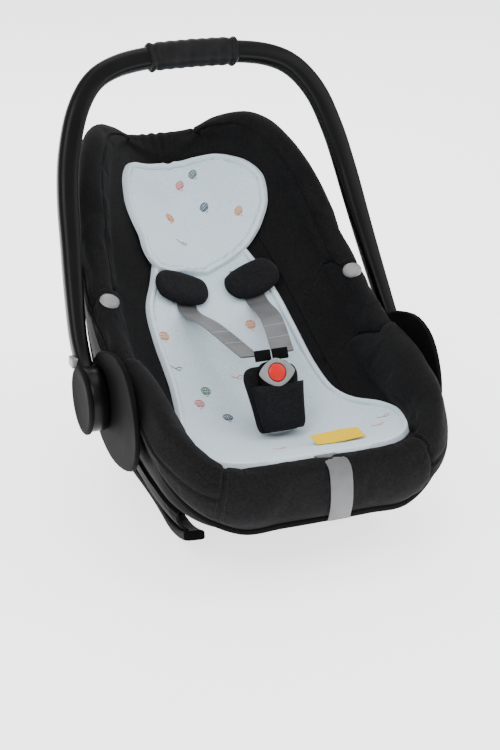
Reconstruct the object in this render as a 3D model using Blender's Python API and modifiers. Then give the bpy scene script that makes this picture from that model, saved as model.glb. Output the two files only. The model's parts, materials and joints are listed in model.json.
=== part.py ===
"""Infant car seat with a tilting carry handle: moulded tub, rocker base, padded cover, harness and liner.

Metres, +Z up, +X to the child's left, the feet point along -Y.  The origin is under the middle of the
bounding box, on the floor.  Left and right are the child's.
"""
import math

import bmesh
import bpy
import numpy as np
from mathutils import Matrix, Vector

# ---------------------------------------------------------------- driving dimensions
GAP = 0.0004                      # clearance kept between touching pieces
TUB_WALL = 0.004                  # wall of the moulded tub
COVER_THICK = 0.008               # padded cover
BOLSTER_SWELL = 0.018               # rise of the fat rolls beside the hips
EDGE_PAD = 0.0165                 # width of the padded edge between the hollow and the gussets
GUSSET_THICK = 0.005
FOAM_THICK = 0.018
FOAM_CLEARANCE = 0.0028            # between the foam and the faceted cover and tub
LINER_THICK = 0.006               # loose summer liner on top of the cover
LINER_LIFT = 0.0012

PIVOT_Y, PIVOT_Z = -0.069, 0.168  # axis of the carry handle, along X
FIN_INNER_X, FIN_THICK = 0.1946, 0.0064
ARM_INNER_X, ARM_WIDTH = 0.2015, 0.022
CAP_THICK = 0.005
CAP_RADIUS = 0.043
ARM_DISC_RADIUS = 0.041
BOLT_RADIUS = 0.006
BAR_DEPTH = 0.026                 # handle bar, fore and aft
GRIP_HALF_LENGTH = 0.062

BUTTON_CENTRE = (-0.0275, 0.2030)  # y, z of the handle release buttons
BUTTON_HALF = (0.0085, 0.0065)
BUTTON_STAND_OUT = 0.0055
BUTTON_REACH = 0.010               # length of a release button, fore and aft of the arm's face
BUTTON_TRAVEL = 0.005
POCKET_DEPTH = 0.0165              # pocket in the arm behind each button

RUNNER_WIDTH, RUNNER_HEIGHT = 0.026, 0.012
RUNNER_X = 0.118
RUNNER_SIDES, RUNNER_SQUARENESS = 12, 5.0
SOLE_LIFT = RUNNER_HEIGHT / 2 * math.cos(math.pi / RUNNER_SIDES) ** (2 / RUNNER_SQUARENESS)
RUNNER_FLAT = (-0.115, 0.075)     # stretch that stands flat on the floor, along Y
WEBBING_WIDTH, WEBBING_THICK = 0.028, 0.0022
ADJUSTER_HINGE = (-0.2555, 0.1240)  # y, z of the harness release lever's axis, along X

# Half outlines, front centre to head centre, one row for each cross-section of the seat.
# Ridge: top line of the padded edge.  Floor: middle of the padded hollow.
RIDGE = ((0.105, -0.312, 0.150), (0.150, -0.299, 0.158), (0.176, -0.250, 0.176), (0.183, -0.190, 0.197),
         (0.184, -0.130, 0.212), (0.184, -0.070, 0.228), (0.181, 0.000, 0.262), (0.174, 0.070, 0.312),
         (0.160, 0.140, 0.378), (0.140, 0.198, 0.414), (0.116, 0.246, 0.424), (0.085, 0.288, 0.411),
         (0.056, 0.3085, 0.392))
FLOOR = ((-0.297, 0.148), (-0.260, 0.139), (-0.215, 0.126), (-0.165, 0.118), (-0.105, 0.122),
         (-0.045, 0.147), (0.012, 0.184), (0.066, 0.222), (0.120, 0.256), (0.170, 0.286),
         (0.218, 0.315), (0.258, 0.345), (0.295, 0.384))
FULLNESS = (2.3, 2.3, 2.4, 2.4, 2.3, 2.1, 1.9, 1.7, 1.45, 1.35, 1.3, 1.3, 1.5)
# Rim: free edge of the moulded tub.  Keel: its lowest line.
RIM = ((0.105, -0.3045, 0.078), (0.150, -0.283, 0.098), (0.176, -0.246, 0.128), (0.186, -0.196, 0.167),
       (0.1885, -0.140, 0.194), (0.1885, -0.070, 0.204), (0.186, 0.000, 0.228), (0.179, 0.072, 0.275),
       (0.166, 0.142, 0.338), (0.147, 0.202, 0.376), (0.124, 0.254, 0.390), (0.092, 0.2955, 0.384),
       (0.060, 0.3175, 0.370))
KEEL = ((-0.3085, 0.078), (-0.275, 0.060), (-0.225, 0.048), (-0.165, 0.040), (-0.090, 0.036),
        (-0.010, 0.040), (0.070, 0.062), (0.140, 0.105), (0.200, 0.160), (0.250, 0.222), (0.290, 0.285),
        (0.3135, 0.335), (0.3245, 0.370))
TUB_FULLNESS = (2.2, 2.3, 2.5, 2.6, 2.6, 2.6, 2.6, 2.5, 2.4, 2.3, 2.2, 2.2, 2.2)
LAST = len(RIDGE) - 1

# Centre line of the carry handle, one side, from the pivot disc to the middle of the grip.
HANDLE = ((0.2125, -0.058, 0.180), (0.2125, -0.030, 0.200), (0.2115, -0.003, 0.230), (0.206, 0.029, 0.280),
          (0.200, 0.056, 0.328), (0.1925, 0.0885, 0.388), (0.183, 0.109, 0.434), (0.166, 0.127, 0.480),
          (0.140, 0.1435, 0.513), (0.105, 0.151, 0.530), (0.055, 0.1545, 0.5375), (0.0, 0.155, 0.539))

COLOURS = {                       # base colour, roughness, metallic
    "shell_plastic": ((0.018, 0.018, 0.020), 0.42, 0.0),
    "base_plastic": ((0.012, 0.012, 0.013), 0.55, 0.0),
    "handle_plastic": ((0.014, 0.014, 0.016), 0.34, 0.0),
    "grip_leather": ((0.060, 0.060, 0.065), 0.60, 0.0),
    "cover_fabric": ((0.022, 0.022, 0.025), 0.90, 0.0),
    "liner_fabric": ((0.560, 0.620, 0.660), 0.90, 0.0),
    "tag_fabric": ((0.850, 0.700, 0.020), 0.80, 0.0),
    "pad_fabric": ((0.018, 0.018, 0.020), 0.95, 0.0),
    "webbing": ((0.450, 0.460, 0.470), 0.45, 0.0),
    "steel": ((0.550, 0.550, 0.560), 0.35, 1.0),
    "grey_plastic": ((0.420, 0.425, 0.430), 0.40, 0.0),
    "red_plastic": ((0.700, 0.020, 0.015), 0.30, 0.0),
    "foam": ((0.300, 0.300, 0.310), 0.95, 0.0),
}


# ---------------------------------------------------------------- scene helpers
def clear_scene():
    for obj in list(bpy.data.objects):
        bpy.data.objects.remove(obj, do_unlink=True)


def new_collection(name, hidden=False):
    collection = bpy.data.collections.new(name)
    bpy.context.scene.collection.children.link(collection)
    collection.hide_render = hidden
    return collection


def material(name):
    if name in bpy.data.materials:
        return bpy.data.materials[name]
    colour, roughness, metallic = COLOURS[name]
    made = bpy.data.materials.new(name)
    made.use_nodes = True
    shader = made.node_tree.nodes["Principled BSDF"]
    shader.inputs["Base Color"].default_value = (*colour, 1.0)
    shader.inputs["Roughness"].default_value = roughness
    shader.inputs["Metallic"].default_value = metallic
    made.diffuse_color = (*colour, 1.0)
    return made


def mesh_object(name, bm, finish, origin=(0.0, 0.0, 0.0), collection=None):
    """Turns a bmesh made in world coordinates into an object with its origin at origin."""
    bmesh.ops.recalc_face_normals(bm, faces=bm.faces)
    bmesh.ops.translate(bm, verts=bm.verts, vec=-Vector(origin))
    mesh = bpy.data.meshes.new(name)
    bm.to_mesh(mesh)
    bm.free()
    mesh.materials.append(material(finish))
    mesh.shade_smooth()
    mesh.set_sharp_from_angle(angle=math.radians(35))
    obj = bpy.data.objects.new(name, mesh)
    obj.location = origin
    (collection or PARTS).objects.link(obj)
    return obj


def hang_on(obj, parent):
    """Parents obj to parent without moving it."""
    bpy.context.view_layer.update()
    obj.parent = parent
    obj.matrix_parent_inverse = parent.matrix_world.inverted()


def empty(name, place):
    made = bpy.data.objects.new(name, None)
    made.location = place
    PARTS.objects.link(made)
    return made


def bevel(obj, width, segments=2):
    modifier = obj.modifiers.new("Bevel", "BEVEL")
    modifier.width = width
    modifier.segments = segments
    modifier.limit_method = "ANGLE"
    modifier.angle_limit = math.radians(40)


def boolean(obj, other, operation):
    modifier = obj.modifiers.new(operation.title(), "BOOLEAN")
    modifier.operation = operation
    modifier.object = other
    other.hide_render = True
    other.display_type = "WIRE"


def solid_grid(name, top, under, finish):
    """Closed slab between two grids of points of the same shape."""
    rows, columns = top.shape[:2]
    bm = bmesh.new()
    faces = [[[bm.verts.new(point) for point in row] for row in grid] for grid in (top, under)]
    for i in range(rows - 1):
        for j in range(columns - 1):
            for grid in faces:
                bm.faces.new((grid[i][j], grid[i + 1][j], grid[i + 1][j + 1], grid[i][j + 1]))
    edge = [(i, 0) for i in range(rows)] + [(rows - 1, j) for j in range(1, columns)]
    edge += [(i, columns - 1) for i in range(rows - 2, -1, -1)] + [(0, j) for j in range(columns - 2, 0, -1)]
    for (i, j), (k, m) in zip(edge, edge[1:] + edge[:1]):
        bm.faces.new((faces[0][i][j], faces[0][k][m], faces[1][k][m], faces[1][i][j]))
    return mesh_object(name, bm, finish)


def loft(name, rings, finish, origin=(0.0, 0.0, 0.0), collection=None):
    """Closed solid through rings of points, capped at both ends."""
    bm = bmesh.new()
    made = [[bm.verts.new(point) for point in ring] for ring in rings]
    for near, far in zip(made, made[1:]):
        for i, vert in enumerate(near):
            bm.faces.new((vert, near[i - 1], far[i - 1], far[i]))
    bm.faces.new(made[0])
    bm.faces.new(made[-1])
    return mesh_object(name, bm, finish, origin, collection)


def cylinder(name, centre, radius, length, axis, finish, sides=28, origin=None, collection=None, top=None):
    """Cylinder, or a cone with its other radius in top, centred on centre."""
    bm = bmesh.new()
    turn = Vector((0, 0, 1)).rotation_difference(Vector(axis)).to_matrix().to_4x4()
    place = Matrix.Translation(centre) @ turn
    bmesh.ops.create_cone(bm, cap_ends=True, segments=sides, radius1=radius,
                          radius2=radius if top is None else top, depth=length, matrix=place)
    return mesh_object(name, bm, finish, origin or centre, collection)


def block(name, centre, size, finish, frame=None, collection=None):
    """Box of the given size, turned by the rotation matrix frame."""
    bm = bmesh.new()
    place = Matrix.Translation(centre) @ (frame or Matrix.Identity(4)) @ Matrix.Diagonal((*size, 1.0))
    bmesh.ops.create_cube(bm, size=1.0, matrix=place)
    return mesh_object(name, bm, finish, centre, collection)


def prism(name, outline, low_x, high_x, finish, collection=None):
    """Flat outline in Y and Z, made solid between two X values."""
    rings = [[(x, y, z) for y, z in outline] for x in (low_x, high_x)]
    return loft(name, rings, finish, collection=collection)


# ---------------------------------------------------------------- curves and surfaces
def through(points, t):
    """Point at t on a smooth curve through the points; whole values of t are the points."""
    points = np.asarray(points, float)
    i = min(int(t), len(points) - 2)
    f = t - i
    before = points[i - 1] if i > 0 else 2 * points[0] - points[1]
    after = points[i + 2] if i + 2 < len(points) else 2 * points[-1] - points[-2]
    a, b = points[i], points[i + 1]
    return 0.5 * (2 * a + (b - before) * f + (2 * before - 5 * a + 4 * b - after) * f * f
                  + (3 * a - before - 3 * b + after) * f ** 3)


def bowl(edge, middle, fullness, u, v):
    """Point of a hollow: u runs from -1 at one edge through 0 in the middle to 1, v along the seat."""
    side = np.array(through(edge, v))
    low = np.array((0.0, *through(middle, v)))
    power = 2.0 / float(through(np.reshape(fullness, (-1, 1)), v)[0])
    angle = 0.5 * math.pi * (1.0 - abs(u))
    out, down = max(math.cos(angle), 0.0) ** power, math.sin(angle) ** power
    point = side + (low - side) * down
    point[0] = math.copysign(side[0] * out, u) if u else 0.0
    return point


def inner_edge(row):
    """Edge of the hollow beside row of RIDGE: the ridge moved in by the width of the padded edge."""
    along = np.array(through(RIDGE, row + 0.05 if row < LAST else row))
    along = along - through(RIDGE, row - 0.05 if row else row)
    inward = np.array((-along[1], along[0], 0.0))
    inward /= np.linalg.norm(inward)
    return np.array(RIDGE[row]) + inward * EDGE_PAD - (0, 0, 0.002)


def hollow(u, v):
    return bowl(HOLLOW_EDGE, FLOOR, FULLNESS, u, v)


def tub(u, v):
    return bowl(RIM, KEEL, TUB_FULLNESS, u, v)


def normal_at(surface, u, v):
    """Unit normal of a surface, on its upper side."""
    step = 0.02
    low_u, high_u = max(u - step, -1.0), min(u + step, 1.0)
    low_v, high_v = max(v - step, 0.0), min(v + step, LAST)
    across = surface(high_u, v) - surface(low_u, v)
    along = surface(u, high_v) - surface(u, low_v)
    n = np.cross(across, along)
    return n / np.linalg.norm(n)


def raised(surface, u, v, height):
    return surface(u, v) + normal_at(surface, u, v) * height


def patch(name, surface, u_span, v_span, counts, heights, finish, shape=None):
    """Slab over part of a surface, between two heights above it, each a number or a function of u and v.
    shape narrows u for each v."""
    u_values = np.linspace(*u_span, counts[0])
    v_values = np.linspace(*v_span, counts[1])
    grids = []
    for height in heights:
        rows = []
        for v in v_values:
            scale = shape((v - v_span[0]) / (v_span[1] - v_span[0])) if shape else 1.0
            rows.append([raised(surface, u * scale, v, height(abs(u), v) if callable(height) else height)
                         for u in u_values])
        grids.append(np.array(rows))
    return solid_grid(name, grids[0], grids[1], finish)


def swept(path, sizes, sides=14, squareness=2.6, flat_normal=None):
    """Rings of a rounded section along a path.  sizes gives (across, deep) at each point."""
    path = np.asarray(path, float)
    rings = []
    for i, point in enumerate(path):
        along = path[min(i + 1, len(path) - 1)] - path[max(i - 1, 0)]
        along /= np.linalg.norm(along)
        deep = np.asarray(flat_normal, float)
        deep = deep - along * deep.dot(along)
        deep /= np.linalg.norm(deep)
        across = np.cross(along, deep)
        ring = []
        for k in range(sides):
            angle = 2 * math.pi * (k + 0.5) / sides
            c, s = math.cos(angle), math.sin(angle)
            x = math.copysign(abs(c) ** (2 / squareness), c) * sizes[i][0] / 2
            y = math.copysign(abs(s) ** (2 / squareness), s) * sizes[i][1] / 2
            ring.append(point + across * x + deep * y)
        rings.append(ring)
    return rings


def ribbon(name, points, width, thick, normals, finish, across=(1.0, 0.0, 0.0)):
    """Flat strap through the points, its face turned to the normals."""
    top, under = [], []
    side = np.asarray(across, float) / np.linalg.norm(across) * width / 2
    for point, normal in zip(np.asarray(points, float), np.asarray(normals, float)):
        lift = normal / np.linalg.norm(normal) * thick / 2
        top.append([point - side + lift, point + side + lift])
        under.append([point - side - lift, point + side - lift])
    return solid_grid(name, np.array(top), np.array(under), finish)


# ---------------------------------------------------------------- tub and base
def make_tub():
    return patch("shell_tub", tub, (-1, 1), (0, LAST), (21, 25), (0.0, TUB_WALL), "shell_plastic")


def runner_point(y):
    """Centre line of a rocker runner: flat in the middle, rising and spreading towards its ends."""
    past = max(RUNNER_FLAT[0] - y, y - RUNNER_FLAT[1], 0.0)
    spread = 0.019 * min(max(-y / 0.23, 0.0), 1.0) ** 2
    return np.array((RUNNER_X + spread, y, SOLE_LIFT + 0.036 * (past / 0.115) ** 1.6))


def make_base(side, suffix):
    """One rocker runner, its non-slip sole, and the skirt that joins it to the tub."""
    ys = np.linspace(-0.228, 0.165, 19)
    path = [runner_point(y) * (side, 1, 1) for y in ys]
    sizes = [(RUNNER_WIDTH, RUNNER_HEIGHT)] * len(path)
    runner = loft("runner_" + suffix, swept(path, sizes, RUNNER_SIDES, RUNNER_SQUARENESS, (0, 0, 1)),
                  "base_plastic")
    top, under = [], []
    for v in np.linspace(1.9, 7.6, 20):
        low_y = float(np.clip(tub(0.70, v)[1], -0.222, 0.158))
        low = runner_point(low_y) + (0.008, 0, RUNNER_HEIGHT / 2 + 0.0018)
        rows = []
        for inset in (0.0, TUB_WALL):
            outer = raised(tub, 0.70, v, -0.0015 - TUB_WALL + inset)
            ends = np.array((outer, low - (inset, 0, 0)))
            bulge = np.array((0.006, 0, 0))
            fractions = np.linspace(0, 1, 5)
            rows.append([(ends[0] + (ends[1] - ends[0]) * f + bulge * math.sin(math.pi * f)) * (side, 1, 1)
                         for f in fractions])
        top.append(rows[0])
        under.append(rows[1])
    skirt = solid_grid("base_skirt_" + suffix, np.array(top), np.array(under), "shell_plastic")
    return runner, skirt


def make_hub_fin(side, suffix):
    """Fixed plate beside the tub: it carries the handle's pivot and its front edge guides the lap belt."""
    outline = [through(((-0.022, 0.150), (-0.026, 0.194), (-0.052, 0.221), (-0.095, 0.238), (-0.1385, 0.245),
                        (-0.178, 0.232), (-0.203, 0.196), (-0.208, 0.155), (-0.190, 0.122), (-0.150, 0.104),
                        (-0.095, 0.098), (-0.045, 0.114), (-0.022, 0.150)), t)
               for t in np.linspace(0, 12, 37)[:-1]]
    low, high = sorted((side * FIN_INNER_X, side * (FIN_INNER_X + FIN_THICK)))
    fin = prism("hub_fin_" + suffix, outline, low, high, "shell_plastic")
    hole = cylinder("fin_bore_" + suffix, (side * FIN_INNER_X, PIVOT_Y, PIVOT_Z), BOLT_RADIUS + GAP, 0.04,
                    (1, 0, 0), "steel", collection=CUTTERS)
    bevel(fin, 0.0022)
    boolean(fin, hole, "DIFFERENCE")
    return fin


def make_rear_hook():
    """Ledge on the back of the head end that guides the vehicle's shoulder belt."""
    hook = patch("rear_belt_hook", tub, (-0.26, 0.26), (9.1, 10.0), (11, 5), (-GAP, -0.013), "base_plastic")
    bevel(hook, 0.003)
    return hook


def make_foam():
    """Energy-absorbing foam shell under the cover: even in thickness, and thinner where the tub is close."""
    top, under = [], []
    for v in np.linspace(1.9, 10.9, 18):
        row_top, row_under = [], []
        for u in np.linspace(-0.78, 0.78, 17):
            upper = raised(hollow, u, v, -COVER_THICK - FOAM_CLEARANCE)
            to_tub = raised(tub, u, v, TUB_WALL + FOAM_CLEARANCE) - upper
            room = np.linalg.norm(to_tub)
            row_top.append(upper)
            row_under.append(upper + to_tub * min(FOAM_THICK, room) / room)
        top.append(row_top)
        under.append(row_under)
    return solid_grid("foam_core", np.array(top), np.array(under), "foam")


# ---------------------------------------------------------------- cover
def bolster_height(u, v):
    """Upper face of a hip bolster: a fat roll that overhangs the seat beside the hips."""
    across = math.sin(math.pi * min(max((u - 0.71) / 0.29, 0.0), 1.0))
    along = math.sin(math.pi * min(max((v - 1.65) / 3.05, 0.0), 1.0)) ** 0.6
    return BOLSTER_SWELL * across * along - 0.0005


def make_cover():
    """Sewn padded panels that line the hollow, and the gussets round its outer edge."""
    seam = 0.016
    def panel(name, u_span, v_span, counts, upper=-0.0005):
        return patch(name, hollow, u_span, v_span, counts, (upper, -COVER_THICK), "cover_fabric")
    panel("front_lip_panel", (-1, 1), (0, 1.6), (17, 5))
    panel("seat_panel", (-0.62, 0.62), (1.6 + seam, 5.0), (11, 9))
    panel("back_panel", (-0.62, 0.62), (5.0 + seam, 8.6), (11, 9))
    panel("headrest_panel", (-0.62, 0.62), (8.6 + seam, LAST - 0.1), (11, 8))
    for side, suffix in ((1, "left"), (-1, "right")):
        edge = sorted((side * (0.62 + seam), side * 1.0))
        panel("hip_bolster_" + suffix, edge, (1.6 + seam, 6.2), (9, 15), bolster_height)
        panel("wing_panel_" + suffix, edge, (6.2 + seam, LAST - 0.1), (7, 13))


def gusset_grids(ridge, rim, bulge):
    """Outer and inner faces of the padded wall between the ridge and the tub's rim."""
    outer, inner = [], []
    steps = 4
    for i, (high, low) in enumerate(zip(ridge, rim)):
        along = ridge[min(i + 1, len(ridge) - 1)] - ridge[max(i - 1, 0)]
        out = np.cross(along, high - low)
        out[2] = 0.0
        out /= np.linalg.norm(out)
        line = [high + (low - high) * k / steps for k in range(steps + 1)]
        swell = [bulge * math.sin(math.pi * k / steps) for k in range(steps + 1)]
        outer.append([p + out * s for p, s in zip(line, swell)])
        inner.append([p + out * (s - GUSSET_THICK) for p, s in zip(line, swell)])
    return np.array(outer), np.array(inner)


def make_gussets():
    top_gap = np.array((0, 0, -0.003))
    low_gap = np.array((0, 0, 0.0045))
    for side, suffix in ((1, "left"), (-1, "right")):
        vs = np.linspace(0.02, LAST - 0.02, 30)
        ridge = [(through(RIDGE, v) + top_gap) * (side, 1, 1) for v in vs]
        rim = [(through(RIM, v) + low_gap) * (side, 1, 1) for v in vs]
        order = slice(None, None, -side)
        outer, inner = gusset_grids(ridge[order], rim[order], 0.0008)
        solid_grid("side_gusset_" + suffix, outer, inner, "cover_fabric")
    xs = np.linspace(-0.103, 0.103, 9)
    for name, v, order, swell in (("front_gusset", 0, 1, 0.012), ("head_gusset", LAST, -1, 0.0025)):
        half = through(RIDGE, v)[0] - 0.002
        us = np.linspace(-half, half, len(xs))[::-order]
        ridge_y, ridge_z = through(RIDGE, v)[1:]
        rim_y, rim_z = through(KEEL, v)
        ridge = [np.array((x, ridge_y, ridge_z)) + top_gap for x in us]
        rim = [np.array((x, rim_y, rim_z)) + low_gap for x in us]
        outer, inner = gusset_grids(ridge, rim, swell)
        solid_grid(name, outer, inner, "cover_fabric")


# ---------------------------------------------------------------- carry handle
def handle_rings():
    """Section rings from the left pivot disc over the top to the right one."""
    turns = np.linspace(0, len(HANDLE) - 1, 21)
    half = [through(HANDLE, t) for t in turns]
    path = half + [p * (-1, 1, 1) for p in reversed(half[:-1])]
    sizes = []
    for point in path:
        rise = min(max((point[2] - 0.20) / 0.16, 0.0), 1.0)
        sizes.append((ARM_WIDTH + 0.006 * rise - 0.001 * (1 - rise), BAR_DEPTH))
    lean = (0.0, math.cos(math.radians(31)), -math.sin(math.radians(31)))
    return swept(path, sizes, 12, 2.8, lean)


def make_handle(pivot):
    """The bent bar with its two pivot discs, moulded in one."""
    bar = loft("handle_bar", handle_rings(), "handle_plastic", pivot.location)
    middle_x = ARM_INNER_X + ARM_WIDTH / 2
    for side, suffix in ((1, "left"), (-1, "right")):
        centre = (side * middle_x, PIVOT_Y, PIVOT_Z)
        disc = cylinder("arm_disc_" + suffix, centre, ARM_DISC_RADIUS, ARM_WIDTH, (1, 0, 0),
                        "handle_plastic", 36, collection=CUTTERS)
        boolean(bar, disc, "UNION")
        bore = cylinder("arm_bore_" + suffix, centre, BOLT_RADIUS + GAP, 0.04, (1, 0, 0), "steel",
                        collection=CUTTERS)
        boolean(bar, bore, "DIFFERENCE")
        y, z = BUTTON_CENTRE
        pocket = block("button_pocket_" + suffix, (side * (ARM_INNER_X + ARM_WIDTH), y, z),
                       (2 * POCKET_DEPTH, 2 * (BUTTON_HALF[0] + GAP), 2 * (BUTTON_HALF[1] + GAP)), "steel",
                       collection=CUTTERS)
        boolean(bar, pocket, "DIFFERENCE")
    hang_on(bar, pivot)
    return bar


def make_grip(pivot):
    """Soft sleeve round the middle of the bar, cut open lengthwise inside by the bar itself."""
    xs = np.linspace(-GRIP_HALF_LENGTH, GRIP_HALF_LENGTH, 7)
    end = len(HANDLE) - 1
    turns = np.linspace(end - 3, end, 60)
    line = np.array([through(HANDLE, t) for t in turns])
    def at(x):
        i = int(np.argmin(abs(line[:, 0] - abs(x))))
        return line[i] * (math.copysign(1, x), 1, 1)
    path = [at(x) for x in xs]
    lean = (0.0, math.cos(math.radians(31)), -math.sin(math.radians(31)))
    thick = 0.0035
    outer = swept(path, [(0.028 + 2 * thick, BAR_DEPTH + 2 * thick)] * len(path), 16, 2.8, lean)
    inner = swept(path, [(0.028 + 2 * GAP + 0.0004, BAR_DEPTH + 2 * GAP + 0.0004)] * len(path), 16, 2.8, lean)
    bm = bmesh.new()
    rows = [[bm.verts.new(p) for p in ring] for ring in outer + inner[::-1]]
    rows.append(rows[0])
    for near, far in zip(rows, rows[1:]):
        for i in range(len(near)):
            bm.faces.new((near[i], near[i - 1], far[i - 1], far[i]))
    grip = mesh_object("grip_sleeve", bm, "grip_leather", pivot.location)
    hang_on(grip, pivot)
    return grip


def make_hub_details(side, suffix, pivot):
    """Cap, pivot bolt and release button of one side of the handle."""
    arm_outer = ARM_INNER_X + ARM_WIDTH
    cap = cylinder("hub_cap_" + suffix, (side * (arm_outer + GAP + CAP_THICK / 2), PIVOT_Y, PIVOT_Z - 0.001),
                   CAP_RADIUS, CAP_THICK, (side, 0, 0), "handle_plastic", 36, top=CAP_RADIUS - 0.004)
    hang_on(cap, pivot)
    length = arm_outer - FIN_INNER_X - 0.002
    cylinder("pivot_bolt_" + suffix, (side * (FIN_INNER_X + 0.001 + length / 2), PIVOT_Y, PIVOT_Z),
             BOLT_RADIUS, length, (1, 0, 0), "steel", 24)
    y, z = BUTTON_CENTRE
    centre = (side * (arm_outer + BUTTON_STAND_OUT - BUTTON_REACH / 2), y, z)
    button = block("release_button_" + suffix, centre, (BUTTON_REACH, 2 * BUTTON_HALF[0], 2 * BUTTON_HALF[1]),
                   "grey_plastic")
    bevel(button, 0.0018)
    pressed = BUTTON_REACH - BUTTON_STAND_OUT + BUTTON_TRAVEL
    spring_room = (pressed + GAP, POCKET_DEPTH - GAP)
    spring = cylinder("button_spring_" + suffix, (side * (arm_outer - sum(spring_room) / 2), y, z), 0.0042,
                      spring_room[1] - spring_room[0], (1, 0, 0), "steel", 16)
    hang_on(button, pivot)
    hang_on(spring, pivot)


# ---------------------------------------------------------------- harness
PAD_FOOT = np.array((0.0, -0.165, 0.1225))        # where the crotch pad leaves the seat
PAD_UP = np.array((0.0, 0.465, 0.885))
PAD_FRONT = np.array((0.0, -0.885, 0.465))


def on_pad(x, up, front):
    return PAD_FOOT + PAD_UP * up + PAD_FRONT * front + (x, 0, 0)


def pad_frame():
    """Rotation whose Y runs up the crotch pad and whose Z faces its front."""
    return Matrix(((1, 0, 0), (0, PAD_UP[1], PAD_FRONT[1]), (0, PAD_UP[2], PAD_FRONT[2]))).to_4x4()


def make_crotch():
    rows_top, rows_low = [], []
    for up in np.linspace(0.0075, 0.088, 7):
        half = 0.028 + 0.012 * (up / 0.088) ** 1.5
        xs = np.linspace(-half, half, 7)
        swell = [0.0025 * math.cos(0.5 * math.pi * x / half) for x in xs]
        rows_top.append([on_pad(x, up, 0.0055 + s) for x, s in zip(xs, swell)])
        rows_low.append([on_pad(x, up, -0.0055 - s) for x, s in zip(xs, swell)])
    solid_grid("crotch_pad", np.array(rows_top), np.array(rows_low), "pad_fabric")
    frame = pad_frame()
    strap = block("crotch_strap", on_pad(0, 0.026, 0.0105), (0.026, 0.034, WEBBING_THICK), "webbing", frame)
    body = block("buckle_body", on_pad(0, 0.069, 0.0175), (0.042, 0.048, 0.016), "base_plastic", frame)
    bevel(body, 0.004, 3)
    well = cylinder("button_well", on_pad(0, 0.078, 0.0220), 0.0118, 0.013, PAD_FRONT, "steel", 32,
                    collection=CUTTERS)
    boolean(body, well, "DIFFERENCE")
    cylinder("buckle_button", on_pad(0, 0.078, 0.0258), 0.0113, 0.0040, PAD_FRONT, "red_plastic", 32)
    cylinder("buckle_spring", on_pad(0, 0.078, 0.0182), 0.0040, 0.0044, PAD_FRONT, "steel", 16)
    return strap


def make_shoulder_set(side, suffix):
    """Strap, pad and buckle tongue of one shoulder."""
    strap_lift, pad_low, pad_high = 0.0128, 0.0152, 0.0240
    u = side * 0.235
    on_back = [raised(hollow, u, v, strap_lift) for v in (7.45, 7.05, 6.62)]
    free = [np.array((side * 0.0405, -0.030, 0.2265)), np.array((side * 0.0220, -0.1165, 0.2140))]
    route = on_back + free
    turns = np.linspace(0, len(route) - 1, 15)
    points = [through(route, t) for t in turns]
    back_normal = normal_at(hollow, u, 7.1)
    free_normal = np.array((0.0, -0.20, 0.98))
    normals = [back_normal + (free_normal - back_normal) * min(max((t - 1.5) / 1.5, 0), 1) for t in turns]
    across = np.cross(route[-1] - route[2], back_normal)
    across *= math.copysign(1.0, across[0])
    ribbon("shoulder_strap_" + suffix, points, WEBBING_WIDTH, WEBBING_THICK, normals, "webbing", across)
    edge = sorted((side * 0.075, side * 0.450))
    patch("shoulder_pad_" + suffix, hollow, edge, (6.84, 7.60), (7, 6), (pad_high, pad_low), "pad_fabric")
    tongue = block("tongue_" + suffix, on_pad(side * 0.0115, 0.1015, 0.0165), (0.021, 0.014, 0.004),
                   "base_plastic", pad_frame())
    bevel(tongue, 0.0012)


def make_adjuster():
    """Front strap that pulls the harness tight, with its clamp housing and release lever."""
    points = ((0.004, -0.2795, 0.1480), (0.008, -0.2965, 0.1522), (0.011, -0.3110, 0.1518),
              (0.012, -0.3210, 0.144), (0.012, -0.3260, 0.125), (0.012, -0.3260, 0.102), (0.012, -0.3190, 0.080))
    path = [through(points, t) for t in np.linspace(0, 6, 19)]
    normals = []
    for i in range(len(path)):
        along = path[min(i + 1, len(path) - 1)] - path[max(i - 1, 0)]
        normals.append(np.cross(along, (1, 0, 0)) * -1)
    ribbon("adjuster_strap", path, WEBBING_WIDTH, WEBBING_THICK, normals, "webbing")
    housing = block("adjuster_housing", (0, -0.266, 0.106), (0.050, 0.036, 0.020), "base_plastic")
    bevel(housing, 0.002)
    hinge = (0, ADJUSTER_HINGE[0], ADJUSTER_HINGE[1])
    lever = block("adjuster_lever", (0, -0.2690, 0.1240), (0.032, 0.026, 0.003), "grey_plastic")
    lever.data.transform(Matrix.Translation(Vector((0, -0.2690, 0.1240)) - Vector(hinge)))
    lever.location = hinge
    bevel(lever, 0.001)


def make_studs():
    """Round canopy studs on the padded sides."""
    for side, suffix in ((1, "left"), (-1, "right")):
        normal = Vector((-0.22 * side, -0.32, 0.92)).normalized()
        centre = (side * 0.1670, -0.0020, 0.2680)
        cylinder("canopy_stud_" + suffix, centre, 0.0125, 0.0045, normal, "grey_plastic", 28, top=0.0108)


# ---------------------------------------------------------------- liner
def head_width(f):
    """Share of the liner's full width, a share f of the way up its head part."""
    return float(through(((0.42,), (0.86,), (1.0,), (0.97,), (0.84,), (0.46,)), 5 * f)[0])


def body_width(f):
    """The same for its body part: wide at the legs, narrow between the hip bolsters."""
    return float(through(((0.62,), (0.98,), (0.98,), (0.70,), (0.60,), (0.66,), (0.70,), (0.60,)), 7 * f)[0])


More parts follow.
